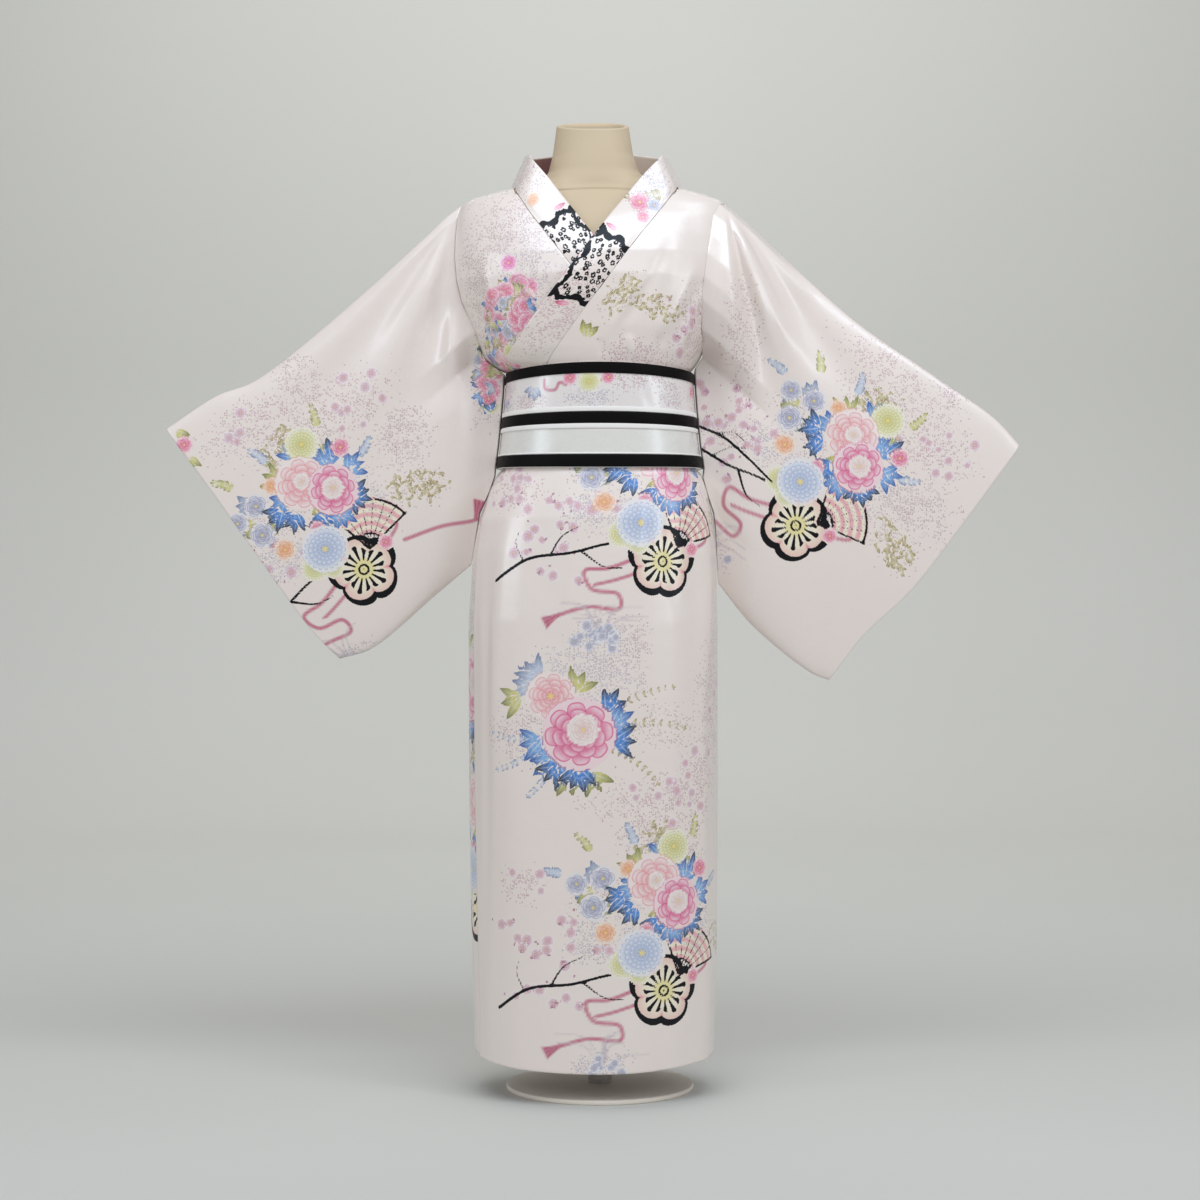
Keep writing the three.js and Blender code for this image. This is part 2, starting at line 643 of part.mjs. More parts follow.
function mesh(name, geometry, color, roughness, metalness = 0) {
  const made = new THREE.Mesh(geometry, new THREE.MeshStandardMaterial({ color, roughness, metalness }));
  made.name = name;
  return made;
}

const group = new THREE.Group();
group.add(mesh("front_over", frontOver(), COLOURS.satin, 0.35));
group.add(mesh("front_under", frontUnder(), COLOURS.lilac, 0.35));
group.add(mesh("back", back(), COLOURS.satin, 0.35));
group.add(mesh("collar", collar(), COLOURS.lilac, 0.35));
group.add(mesh("sleeve_left", sleeveWall(LEFT_SLEEVE, SLEEVE_FOLDS.left), COLOURS.satin, 0.35));
group.add(mesh("sleeve_right", sleeveWall(RIGHT_SLEEVE, SLEEVE_FOLDS.right), COLOURS.satin, 0.35));
group.add(mesh("obi_band", obiBand(OBI.map((row) => row.z), 0, OBI_WALL), COLOURS.white, 0.4));
RIBBONS.forEach(({ name, low, high, colour }) => {
  group.add(mesh(name, obiBand([low, high], RIBBON_GAP + RIBBON_WALL, RIBBON_WALL), colour, 0.3));
});
group.add(mesh("form_body", formBody(), COLOURS.linen, 0.7));
group.add(mesh("form_cap", formCap(), COLOURS.linen, 0.6));
group.add(mesh("form_pole", formPole(), COLOURS.steel, 0.3, 1));
group.add(mesh("form_base", formBase(), COLOURS.white, 0.5));

export default group;
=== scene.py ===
"""Looks of a printed satin kimono with a short striped obi, worn on a limbless dress form.

Sizes are in millimetres until a mesh is made, and meshes are in metres. +Z is up, the front faces -Y, and
left and right are as seen from the front, so +X is right. Cloth is painted on its own coordinates: u runs
across it from the middle of the front or back, and v is the height.
"""
import logging
import math
from collections.abc import Sequence
from dataclasses import dataclass, replace
from enum import Enum
from functools import partialmethod

import bpy
import numpy as np
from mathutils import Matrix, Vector


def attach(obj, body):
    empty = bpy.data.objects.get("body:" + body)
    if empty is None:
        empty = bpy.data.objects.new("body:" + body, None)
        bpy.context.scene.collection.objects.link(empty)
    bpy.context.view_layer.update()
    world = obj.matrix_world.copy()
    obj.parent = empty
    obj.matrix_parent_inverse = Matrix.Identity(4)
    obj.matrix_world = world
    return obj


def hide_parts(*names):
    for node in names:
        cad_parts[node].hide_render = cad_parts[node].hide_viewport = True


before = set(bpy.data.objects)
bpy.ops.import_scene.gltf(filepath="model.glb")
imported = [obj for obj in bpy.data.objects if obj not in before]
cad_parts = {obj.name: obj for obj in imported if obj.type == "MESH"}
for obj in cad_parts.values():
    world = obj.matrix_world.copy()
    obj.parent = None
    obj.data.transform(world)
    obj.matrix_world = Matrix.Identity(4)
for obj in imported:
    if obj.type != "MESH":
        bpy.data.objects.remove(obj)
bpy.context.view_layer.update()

LOG = logging.getLogger("kimono")
MM = 0.001
ROOT = "root"

Array = np.ndarray
Piece = bpy.types.Object
Material = bpy.types.Material
Socket = bpy.types.NodeSocket
Inputs = dict[str | int, object]
Colour = tuple[float, float, float]
Point = tuple[float, float, float]
Line = Sequence[tuple[float, float]]


# ---- Numbers and tables ----


def smooth(low: float, high: float, value: Array | float) -> Array:
    """Return a soft step from 0 at low to 1 at high."""
    part = np.clip((np.asarray(value, float) - low) / (high - low), 0, 1)
    return part * part * (3 - 2 * part)


def mix(a: Array | float, b: Array | float, part: Array | float) -> Array:
    """Return the value a share of the way from a to b."""
    return a + (b - a) * part


def srgb(red: float, green: float, blue: float) -> Colour:
    """Return the linear colour of a display colour given in 0 to 255."""
    shares = (red / 255, green / 255, blue / 255)
    return tuple(c / 12.92 if c <= 0.04045 else ((c + 0.055) / 1.055) ** 2.4 for c in shares)


def unit(vectors: Array) -> Array:
    """Return vectors at a length of one."""
    return vectors / np.maximum(np.linalg.norm(vectors, axis=-1, keepdims=True), 1e-9)


def run_of(line: Array) -> Array:
    """Return the distance along a line at each of its points."""
    return np.concatenate([[0.0], np.cumsum(np.linalg.norm(np.diff(line, axis=0), axis=1))])


@dataclass(frozen=True)
class Table:
    """Rows of sizes by height, read between the rows with soft corners.

    Args:
        columns: names of the columns, the height first.
        rows: the rows, from the lowest up.
        soft: how far the corners are rounded, in millimetres.
    """

    columns: tuple[str, ...]
    rows: tuple[tuple[float, ...], ...]
    soft: float = 9.0

    def read(self, column: str, place: Array | float) -> Array:
        """Return a column's value at each place."""
        rows = np.array(self.rows, float)
        values = rows[:, self.columns.index(column)]
        place = np.asarray(place, float)
        steps = np.linspace(-1.5, 1.5, 7)
        weights = np.exp(-(steps**2))
        total = sum(w * np.interp(place + s * self.soft, rows[:, 0], values) for s, w in zip(steps, weights))
        return total / weights.sum()


# ---- Sizes of the garment and the form ----

SQUARENESS = 2.2  # exponent of the rounded sections
LAP = 4.2  # from the under front to the over front
HEM_LEVEL = 48.0
HEM = 58.0
HEM_DIP = 10.0
HEM_TOP = 130.0
NECK_Z = 1345.0
NAPE = 17.0
NAPE_FROM = 1262.0
NECK_LIFT = 1.2
ARMHOLE_TOP = 1327.0
ARMHOLE_BOTTOM = 1130.0
LIP = 0.9
FURI = 14.0

BODY = Table(
    ("z", "left", "right", "front", "back"),
    (
        (48, 187, 170, 150, 128), (200, 192, 175, 148, 128), (450, 196, 177, 144, 128),
        (700, 197, 176, 139, 130), (800, 190, 174, 134, 129), (850, 181, 170, 129, 125),
        (890, 165, 160, 119, 117), (914, 153, 151, 113, 111), (920, 145.4, 144.4, 111, 109.5),
        (1000, 137, 135, 106, 103), (1076, 131, 130, 107, 104), (1081, 147, 137, 109, 105),
        (1088, 158, 142, 111.5, 106.5), (1100, 173, 150, 115, 109), (1130, 189, 166, 120, 112),
        (1172, 210, 180, 124, 114), (1205, 218, 190, 125, 114), (1240, 221, 197, 117, 113),
        (1270, 220, 200, 106, 110), (1300, 217, 200, 92, 104), (1318, 210, 195, 83, 97),
        (1327, 199, 183, 78, 92), (1337, 166, 154, 72, 86), (1345, 131, 121, 66, 80),
    ),
    soft=2.0,
)
OVER_EDGE = Table(
    ("z", "x"),
    (
        (48, -177), (850, -172), (890, -158), (914, -137), (1000, -116), (1087, -71), (1154, -22),
        (1200, 12), (1262, 56), (1337, 113), (1345, 115),
    ),
)
UNDER_EDGE = Table(
    ("z", "x"),
    (
        (48, 100), (890, 98), (914, 96), (1000, 90), (1087, 55), (1225, -48), (1298, -102), (1337, -126),
        (1345, -125),
    ),
)
LAP_ENDS = {"x": (98, 146), "z": (1285, 1330)}
CHEST_TOP = 1300.0
CHEST_NECK = {"z": 1400.0, "front": 34.0}
FOLD_Z = (700.0, 900.0)
# How much higher the cloth lies at the sides than in the middle, by level, where the obi's edges curve.
SIDE_LIFT = ((860, 905, 926, 940, 1040, 1066, 1100, 1165), (0, 5, 5, 0, 0, -9, -9, 0))

OBI = Table(
    ("z", "left", "right", "front", "back"),
    (
        (922.5, 154, 153, 119.8, 114.5), (979, 148, 146, 116, 109.5), (1077, 140, 139, 115.8, 108.8),
    ),
    soft=2.0,
)
FORM = Table(
    ("z", "left", "right", "front", "back"),
    (
        (768, 138, 138, 88, 92), (782, 152, 152, 102, 106), (850, 158, 156, 112, 112),
        (930, 138, 137, 102, 100), (1010, 124, 122, 94, 90), (1080, 125, 123, 98, 94),
        (1150, 146, 138, 112, 102), (1205, 172, 152, 117, 104), (1250, 196, 178, 106, 102),
        (1290, 205, 189, 88, 97), (1312, 201, 186, 77, 90), (1326.7, 187, 172, 70, 82),
        (1336.7, 158, 146, 65, 76), (1344.6, 124, 114, 62, 70), (1354, 92, 78, 61, 64),
        (1368, 78, 60, 58, 60), (1395, 71, 50, 55, 57), (1440, 65, 43, 51, 53),
    ),
    soft=3.0,
)


class Side(Enum):
    """The two sides of the garment, as seen from the front."""

    LEFT = -1
    RIGHT = 1


@dataclass(frozen=True)
class Fold:
    """A long soft fold down a panel: its angle round the body, its width in that measure and its height."""

    angle: float
    width: float
    height: float


SKIRT_FOLDS = (Fold(0.5, 0.16, 4), Fold(1.05, 0.22, -3), Fold(2.2, 0.2, 3), Fold(2.72, 0.14, -3))
BACK_FOLDS = (Fold(0.7, 0.2, 4), Fold(1.45, 0.25, -4), Fold(2.3, 0.2, 4))


@dataclass(frozen=True)
class Crease:
    """A soft ridge or trough along a line on a panel.

    Args:
        start: where it starts, as u and v.
        end: where it ends.
        width: half its width.
        height: how far it stands out, or in when negative.
        bend: how far its middle lies off the straight line.
    """

    start: tuple[float, float]
    end: tuple[float, float]
    width: float
    height: float
    bend: float = 0.0

    def at(self, u: Array, v: Array) -> Array:
        """Return the height of the crease at each point."""
        along = np.array(self.end, float) - np.array(self.start, float)
        length = float(np.hypot(*along))
        along = along / length
        du, dv = u - self.start[0], v - self.start[1]
        part = (du * along[0] + dv * along[1]) / length
        off = dv * along[0] - du * along[1] - self.bend * 4 * part * (1 - part)
        ends = smooth(-0.02, 0.3, part) * (1 - smooth(0.6, 1.02, part))
        return self.height * np.exp(-((off / self.width) ** 2)) * ends


def creases(*rows: tuple[float, ...]) -> tuple[Crease, ...]:
    """Return creases from rows of both ends, half width, height and bend."""
    return tuple(Crease(row[:2], row[2:4], *row[4:]) for row in rows)


def section(table: Table, angle: Array, z: Array, back: bool, grow: Array | float = 0.0) -> Array:
    """Return points of a rounded level section.

    Args:
        table: reach of the sections by height.
        angle: from 0 at the right side to pi at the left side.
        z: height of each point.
        back: whether the points are behind the sides.
        grow: how far the section is moved out.

    Returns:
        The points, with three numbers each on the last axis.
    """
    cosine = np.cos(angle)
    side = np.where(cosine > 0, table.read("right", z), table.read("left", z)) + grow
    depth = table.read("back" if back else "front", z) + grow
    power = 2 / SQUARENESS
    x = np.sign(cosine) * side * np.abs(cosine) ** power
    y = (1 if back else -1) * depth * np.abs(np.sin(angle)) ** power
    return np.stack([x, y, np.broadcast_to(z, x.shape)], axis=-1)


def ring(table: Table, z: float, columns: int, grow: Array | float = 0.0) -> Array:
    """Return one closed level: from the right side round the back to the left, and on across the front."""
    turn = np.linspace(0, 2 * math.pi, columns, endpoint=False)
    angle = np.where(turn < math.pi, turn, 2 * math.pi - turn)
    behind, before = (section(table, angle, np.full_like(turn, z), back, grow) for back in (True, False))
    return np.where((turn < math.pi)[:, None], behind, before)


def angle_at_x(x: Array | float, z: Array | float) -> Array:
    """Return the angle at which the body's section reaches x."""
    x, z = np.broadcast_arrays(np.asarray(x, float), np.asarray(z, float))
    side = np.where(x > 0, BODY.read("right", z), BODY.read("left", z))
    turn = np.arccos(np.clip(np.abs(x) / side, 0, 1) ** (SQUARENESS / 2))
    return np.where(x > 0, turn, math.pi - turn)


def lap_at(x: Array, z: Array) -> Array:
    """Return how far the over front stands off the under front."""
    return LAP * (1 - smooth(*LAP_ENDS["x"], x)) * (1 - smooth(*LAP_ENDS["z"], z))


def body_point(
    angle: Array,
    z: Array,
    back: bool,
    over: bool = False,
    folded: Sequence[Crease] = (),
    u: Array | None = None,
) -> Array:
    """Return points of the garment's body.

    Args:
        angle: from 0 at the right side to pi at the left side.
        z: level of each point, before the hem and the nape are shaped.
        back: whether the points are on the back.
        over: whether they are on the over front.
        folded: ridges and troughs on the panel.
        u: distance across the panel, for the creases.

    Returns:
        The points, with three numbers each on the last axis.
    """
    folds = BACK_FOLDS if back else SKIRT_FOLDS
    grow = sum(f.height * np.exp(-(((angle - f.angle) / f.width) ** 2)) for f in folds)
    grow = grow * (1 - smooth(*FOLD_Z, z))
    if over:
        grow = grow + lap_at(section(BODY, angle, z, back)[..., 0], z)
    for crease in folded:
        grow = grow + crease.at(u, z)
    points = section(BODY, angle, z, back, grow)
    middle = np.sin(angle) ** 2
    low = HEM - (0 if back else HEM_DIP) * middle
    share = np.clip((z - HEM_LEVEL) / (HEM_TOP - HEM_LEVEL), 0, 1)
    points[..., 2] = np.where(z < HEM_TOP, mix(low, HEM_TOP, share), z)
    points[..., 2] += np.interp(z, *SIDE_LIFT) * (1 - middle)
    if back:
        points[..., 2] += NAPE * middle * smooth(NAPE_FROM, NECK_Z, z)
    return points


def girth(angle: Array, z: Array, back: bool) -> Array:
    """Return the distance along each level from the middle, positive towards the viewer's right."""
    fine = np.linspace(0, math.pi, 181)
    out = np.empty_like(angle)
    for i in range(angle.shape[0]):
        line = section(BODY, fine, np.full_like(fine, z[i, 0]), back)
        run = run_of(line)
        from_middle = run[len(fine) // 2] - np.interp(angle[i], fine, run)
        out[i] = -from_middle if back else from_middle
    return out


def levels(*zones: tuple[float, float, float]) -> Array:
    """Return heights with an even step in each zone, given as low, high and step."""
    parts = [np.linspace(low, high, max(2, round((high - low) / step) + 1))[:-1] for low, high, step in zones]
    return np.append(np.concatenate(parts), zones[-1][1])


# ---- Cloth as a grid ----


class Border(Enum):
    """The four borders of a grid of cloth."""

    FIRST_ROW = 0
    LAST_ROW = 1
    FIRST_COLUMN = 2
    LAST_COLUMN = 3


@dataclass
class Cloth:
    """A sheet of cloth as a grid of points.

    Args:
        points: rows by columns by three numbers.
        uv: the same points laid flat, rows by columns by two.
        wrap: whether each row closes on itself.
        flip: whether the seen side is opposite to the cross product of columns and rows.
        wall: thickness left between the cloth and a border turned to its inside.
        outward: direction of the seen side at each point, once a border has been added.
    """

    points: Array
    uv: Array
    wrap: bool = False
    flip: bool = False
    wall: float = 1.5
    outward: Array | None = None

    def normals(self) -> Array:
        """Return the direction of the seen side at each point."""
        if self.outward is not None:
            return self.outward
        if self.wrap:
            across = np.roll(self.points, -1, axis=1) - np.roll(self.points, 1, axis=1)
        else:
            across = np.gradient(self.points, axis=1)
        return unit(np.cross(across, np.gradient(self.points, axis=0))) * (-1 if self.flip else 1)

    def _faced(self, border: Border) -> tuple[Array, Array, Array]:
        """Return the points, flat places and normals with that border as the first row."""
        arrays = self.points, self.uv, self.normals()
        if border in (Border.FIRST_COLUMN, Border.LAST_COLUMN):
            arrays = tuple(np.swapaxes(a, 0, 1) for a in arrays)
        return tuple(a[::-1] for a in arrays) if border in (Border.LAST_ROW, Border.LAST_COLUMN) else arrays

    def _with(self, border: Border, rows: Array, flats: Array, source: list[int]) -> "Cloth":
        """Return the cloth with rows added before a border, whose normals are those of the source rows.

        Args:
            border: the border.
            rows: the new points, from the outermost in.
            flats: their flat places.
            source: rows of the cloth, counted from the border.

        Returns:
            The wider cloth.
        """
        points, uv, normal = self._faced(border)
        pairs = (rows, points), (flats, uv), (normal[source], normal)
        arrays = (np.concatenate(pair) for pair in pairs)
        if border in (Border.LAST_ROW, Border.LAST_COLUMN):
            arrays = (a[::-1] for a in arrays)
        if border in (Border.FIRST_COLUMN, Border.LAST_COLUMN):
            arrays = (np.swapaxes(a, 0, 1) for a in arrays)
        points, uv, normal = arrays
        return replace(self, points=points, uv=uv, outward=normal)

    def hem(self, border: Border, depth: float) -> "Cloth":
        """Return the cloth with one border turned to its inside by that depth."""
        points, uv, normal = self._faced(border)
        run = np.cumsum(np.linalg.norm(np.diff(points, axis=0), axis=-1).mean(axis=1))
        reach = min(int(np.searchsorted(run, depth)) + 1, len(points) - 1)
        inner = sorted({1, max(reach // 2, 1), reach}, reverse=True)
        out = unit(points[0] - points[1])
        rows = [points[k] - normal[k] * self.wall for k in inner]
        rows.append(points[0] - normal[0] * self.wall + out * self.wall * 0.1)
        rows.append(points[0] - normal[0] * self.wall * 0.5 + out * self.wall * 0.4)
        source = [*inner, 0, 0]
        return self._with(border, np.array(rows), uv[source], source)

    def underlap(self, border: Border, reach: float, drop: float) -> "Cloth":
        """Return the cloth with a side border carried on below its neighbour.

        Args:
            border: the first or the last column.
            reach: how far it is carried on.
            drop: how far it lies below.

        Returns:
            The wider cloth.
        """
        points, uv, normal = self._faced(border)
        out = unit(points[0] - points[3])
        side = np.sign(uv[0, :, 0] - uv[3, :, 0])[:, None] * [1.0, 0.0]
        parts = ((1.0, 1.0), (0.6, 0.9), (0.25, 0.5))
        rows = [points[0] + out * reach * share - normal[0] * drop * sunk for share, sunk in parts]
        flats = [uv[0] + side * reach * share for share, _ in parts]
        return self._with(border, np.array(rows), np.array(flats), [0, 0, 0])

    def to_object(self, name: str, paint: "Canvas | None" = None, wrap_rows: bool = False) -> Piece:
        """Make the mesh object of this cloth.

        Args:
            name: name of the object.
            paint: the canvas whose colours the mesh takes, if it is painted.
            wrap_rows: whether the last row joins the first.

        Returns:
            The object, linked to the scene.
        """
        rows, columns = self.points.shape[:2]
        index = np.arange(rows * columns).reshape(rows, columns)
        if self.wrap:
            index = np.concatenate([index, index[:, :1]], axis=1)
        if wrap_rows:
            index = np.concatenate([index, index[:1]], axis=0)
        corners = [index[:-1, :-1], index[:-1, 1:], index[1:, 1:], index[1:, :-1]]
        if self.flip:
            corners.reverse()
        faces = np.stack(corners, axis=-1).reshape(-1, 4)
        mesh = bpy.data.meshes.new(name)
        mesh.from_pydata((self.points.reshape(-1, 3) * MM).tolist(), [], faces.tolist())
        layer = mesh.uv_layers.new(name="cloth")
        layer.data.foreach_set("uv", (self.uv.reshape(-1, 2)[faces.ravel()] * MM).ravel())
        if paint is not None:
            paint.write(mesh)
        mesh.polygons.foreach_set("use_smooth", [True] * len(mesh.polygons))
        mesh.update()
        made = bpy.data.objects.new(name, mesh)
        bpy.context.scene.collection.objects.link(made)
        return made


LAYER_KINDS = {1: ("FLOAT", "value"), 3: ("FLOAT_VECTOR", "vector"), 4: ("FLOAT_COLOR", "color")}


def store(mesh: bpy.types.Mesh, name: str, values: Array) -> None:
    """Store values for each point as an attribute, whose kind follows from their columns."""
    kind, key = LAYER_KINDS[values.shape[1] if values.ndim > 1 else 1]
    layer = mesh.attributes.new(name, kind, "POINT")
    layer.data.foreach_set(key, values.astype(np.float32).ravel())


# ---- Painting on cloth ----

FAR = 9.0  # off every motif and line
LINE_STEPS = 60
GROUND = srgb(245, 231, 223)
BLACK_INK = srgb(18, 15, 17)


@dataclass(frozen=True)
class Place:
    """Where a motif lies on the cloth: its middle, its turn in degrees and its scale."""

    u: float
    v: float
    turn: float = 0.0
    scale: float = 1.0

    def at(self, x: float, y: float, turn: float = 0.0, scale: float = 1.0) -> "Place":
        """Return a place given in this one's own measure."""
        angle = math.radians(self.turn)
        c, s = math.cos(angle), math.sin(angle)
        u = self.u + (x * c - y * s) * self.scale
        v = self.v + (x * s + y * c) * self.scale
        return Place(u, v, self.turn + turn, self.scale * scale)


@dataclass(frozen=True)
class Shades:
    """Colours of a flower or a leaf, at its middle or foot and at its edge or tip."""

    inner: Colour
    outer: Colour


PINK_PEONY = Shades(srgb(206, 44, 104), srgb(250, 164, 196))
PALE_PEONY = Shades(srgb(232, 116, 140), srgb(252, 222, 216))
BLUE_DAISY = Shades(srgb(146, 164, 206), srgb(222, 228, 244))
YELLOW_DAISY = Shades(srgb(184, 176, 70), srgb(244, 240, 186))
PEACH_BUD = Shades(srgb(232, 126, 74), srgb(252, 208, 164))
PINK_BUD = Shades(srgb(210, 50, 104), srgb(250, 164, 188))
GREY_CLOUD = Shades(srgb(128, 126, 160), srgb(214, 212, 228))
MAGENTA = Shades(srgb(222, 30, 140), srgb(248, 150, 204))
CREAM_HEART = Shades(srgb(226, 176, 172), srgb(250, 240, 232))
BLUE_LEAF = Shades(srgb(132, 178, 230), srgb(26, 84, 168))
INK_TIPPED = Shades(srgb(74, 136, 214), srgb(10, 18, 44))
OLIVE_LEAF = Shades(srgb(216, 208, 124), srgb(134, 132, 48))
GOLD_LEAF = Shades(srgb(206, 188, 132), srgb(158, 132, 76))
GREY_LEAF = Shades(srgb(198, 206, 224), srgb(116, 128, 164))
MAUVE = srgb(176, 128, 152)
PLUM_PINK = srgb(182, 108, 138)
LILAC = srgb(160, 156, 188)
TAUPE = srgb(158, 132, 122)
CORD_PINK = srgb(214, 112, 138)
CORD_DEEP = srgb(178, 70, 104)
FAN_PINK = srgb(242, 176, 178)
FAN_CREAM = srgb(250, 238, 214)
WHITE = srgb(250, 249, 248)


def shade(a: Colour, b: Colour, part: Array | float) -> Array:
    """Return the colours a share of the way from a to b."""
    return mix(np.array(a), np.array(b), np.asarray(part)[..., None])


class Canvas:
    """Cloth laid flat, on which motifs are painted.

    Args:
        uv: the cloth's points laid flat.
        grain: spacing of the points, which softens every edge.
    """

    def __init__(self, uv: Array, grain: float) -> None:
        self.u = uv[..., 0].ravel().astype(float)
        self.v = uv[..., 1].ravel().astype(float)
        self.grain = grain
        count = len(self.u)
        self.colour = np.tile([*GROUND, 1.0], (count, 1))
        self.ink, self.rings = (np.full(count, -FAR) for _ in range(2))
        self.dust = np.zeros((count, 4))
        self.motif = np.tile([FAR, FAR, -FAR], (count, 1))
        self.foot, self.tip = (np.ones((count, 4)) for _ in range(2))

    def local(self, place: Place, reach: float) -> tuple[Array, Array, Array]:
        """Return the points within reach of a place: their index and their x and y in its measure."""
        most = reach * place.scale
        index = np.nonzero((np.abs(self.u - place.u) < most) & (np.abs(self.v - place.v) < most))[0]
        du, dv = (self.u[index] - place.u) / place.scale, (self.v[index] - place.v) / place.scale
        angle = math.radians(place.turn)
        c, s = math.cos(angle), math.sin(angle)
        return index, du * c + dv * s, dv * c - du * s

    def cover(self, place: Place, depth: Array) -> Array:
        """Return how much a shape covers each point, from its depth inside the shape's edge."""
        return np.clip(0.5 + depth * place.scale / self.grain, 0, 1)

    def tint(self, index: Array, amount: Array, colour: Array | Colour) -> None:
        """Lay a colour on points by the given amounts."""
        share = np.asarray(amount)[:, None]
        self.colour[index, :3] = self.colour[index, :3] * (1 - share) + np.asarray(colour) * share

    def write(self, mesh: bpy.types.Mesh) -> None:
        """Store the painting on a mesh as attributes."""
        store(mesh, "print_colour", self.colour)
        store(mesh, "dust", self.dust)
        store(mesh, "motif_foot", self.foot)
        store(mesh, "motif_tip", self.tip)
        store(mesh, "motif", self.motif)
        store(mesh, "ink", self.ink)
        store(mesh, "rings", self.rings)

    # Flowers and leaves.

    def _claim(self, index: Array, x: Array, y: Array, petals: float, foot: Colour, tip: Colour) -> None:
        """Give points to a motif, which the material draws from their place in it.

        Args:
            index: the points.
            x: their place along the motif, as a share of its reach.
            y: their place across it.
            petals: number of its outer petals, or 0 for a leaf.
            foot: colour at its middle or foot.
            tip: colour at its edge or tip.
        """
        self.motif[index] = np.column_stack([x, y, np.full(len(index), float(petals))])
        self.foot[index, :3] = foot
        self.tip[index, :3] = tip
        self.dust[index, 3] = 0.0
        self.ink[index] = -FAR

    def flower(self, place: Place, radius: float, bloom: Shades, petals: int) -> None:
        """Paint a flower of layered petals.

        Args:
            place: its middle.
            radius: reach of its outer petals.
            bloom: its colours.
            petals: number of its outer petals.
        """
        index, x, y = self.local(place, radius * 1.05 + 2)
        kept = np.hypot(x, y) < radius * 1.03 + 0.5 * self.grain / place.scale
        index, x, y = index[kept], x[kept] / radius, y[kept] / radius
        self._claim(index, x, y, petals, bloom.inner, bloom.outer)
        self.tint(index, np.full(len(index), 0.6), shade(bloom.outer, WHITE, 0.5))

    peony = partialmethod(flower, petals=8)
    daisy = partialmethod(flower, petals=21)
    bud = partialmethod(flower, petals=5)

    def leaf(self, place: Place, length: float, width: float, leafage: Shades) -> None:
        """Paint a pointed leaf that starts at its place and runs along x."""
        index, x, y = self.local(place, length * 1.1)
        part = np.clip(x / length, 0, 1)
        half = width / 2 * np.sin(math.pi * part**0.8) ** 0.8
        margin = 0.6 * self.grain / place.scale
        kept = (np.abs(y) < half + margin) & (x > -margin) & (x < length + margin)
        self._claim(index[kept], x[kept] / length, y[kept] / (width / 2), 0, leafage.inner, leafage.outer)

    def spread(self, place: Place, count: int, reach: float, width: float, fan: float, green: Shades) -> None:
        """Paint leaves that spread from one foot over an angle in degrees."""
        for k in range(count):
            turn = fan * (k / max(count - 1, 1) - 0.5)
            self.leaf(place.at(0, 0, turn), reach * (1 - 0.12 * (k % 2)), width, green)

    def spray(self, place: Place, length: float, pairs: int, leaf: float, green: Shades, curl: float) -> None:
        """Paint a thin curved stem with pairs of small leaves."""
        here = place
        for k in range(pairs):
            here = here.at(length / pairs, 0, curl / pairs)
            size = leaf * (1 - 0.4 * k / pairs)
            for side in (-1, 1):
                self.leaf(here.at(0, 0, side * (48 + 9 * (k % 2))), size, size * 0.5, green)
        self.leaf(here, leaf * 0.8, leaf * 0.4, green)

    def blossom(self, place: Place, radius: float, colour: Colour) -> None:
        """Paint a small five-petalled plum blossom."""
        self.flower(place, radius, Shades(colour, srgb(248, 218, 224)), 5)

    def plum_sprig(self, place: Place, length: float, count: int, seed: int) -> None:
        """Paint a loose sprig of plum blossoms and buds along x."""
        draw = np.random.default_rng(seed)
        for k in range(count):
            x = length * (k + 0.5) / count
            y = draw.normal(0, 0.13) * length
            size = draw.uniform(5.5, 8.5) * (1.0 if k % 3 else 1.15)
            self.blossom(place.at(x, y, draw.uniform(0, 72)), size, PLUM_PINK)
            bud = place.at(x + draw.normal(0, 9), y + draw.normal(0, 11), draw.uniform(0, 360))
            self.leaf(bud, 5.5, 3.6, Shades(PLUM_PINK, PLUM_PINK))

    def sprinkle(self, place: Place, width: float, height: float, colour: Colour, density: float) -> None:
        """Sow tiny florets over an oval, thinning towards its edge."""
        index, x, y = self.local(place, max(width, height) * 0.62)
        fall = np.exp(-((np.hypot(2 * x / width, 2 * y / height)) ** 3)) * density
        old = self.dust[index, 3]
        share = (fall / np.maximum(fall + old, 1e-6))[:, None]
        self.dust[index, :3] = mix(self.dust[index, :3], np.array(colour), share)
        self.dust[index, 3] = np.maximum(old, fall)

    # Lines.

    def _off(self, place: Place, points: Line) -> tuple[Array, Array, Array]:
        """Return the points near a soft line, how far each lies off it, and how far along it, from 0 to 1."""
        line = soft_line(points, LINE_STEPS)
        reach = float(np.abs(line).max()) + 14
        index, x, y = self.local(place, reach)
        here = np.column_stack([x, y])
        best, along = np.full(len(index), 1e9), np.zeros(len(index))
        for k in range(len(line) - 1):
            a, d = line[k], line[k + 1] - line[k]
            t = np.clip(((here - a) @ d) / max(float(d @ d), 1e-9), 0, 1)
            off = np.hypot(*(here - a - t[:, None] * d).T)
            closer = off < best
            best[closer] = off[closer]
            along[closer] = (k + t[closer]) / (len(line) - 1)
        return index, best, along

    def ink_line(self, place: Place, points: Line, width: float, taper: float, swell: float = 0.0) -> None:
        """Draw a black line that thins by the taper's share and swells by another share in between."""
        index, off, along = self._off(place, points)
        half = width / 2 * (1 - taper * along) * (1 + swell * np.sin(along * 19 + 1))
        self.ink[index] = np.maximum(self.ink[index], half - off)

    def stroke(self, place: Place, points: Line, width: float, colour: Colour) -> None:
        """Paint a coloured line with even ends."""
        index, off, _ = self._off(place, points)
        self.tint(index, self.cover(place, width / 2 - off), colour)

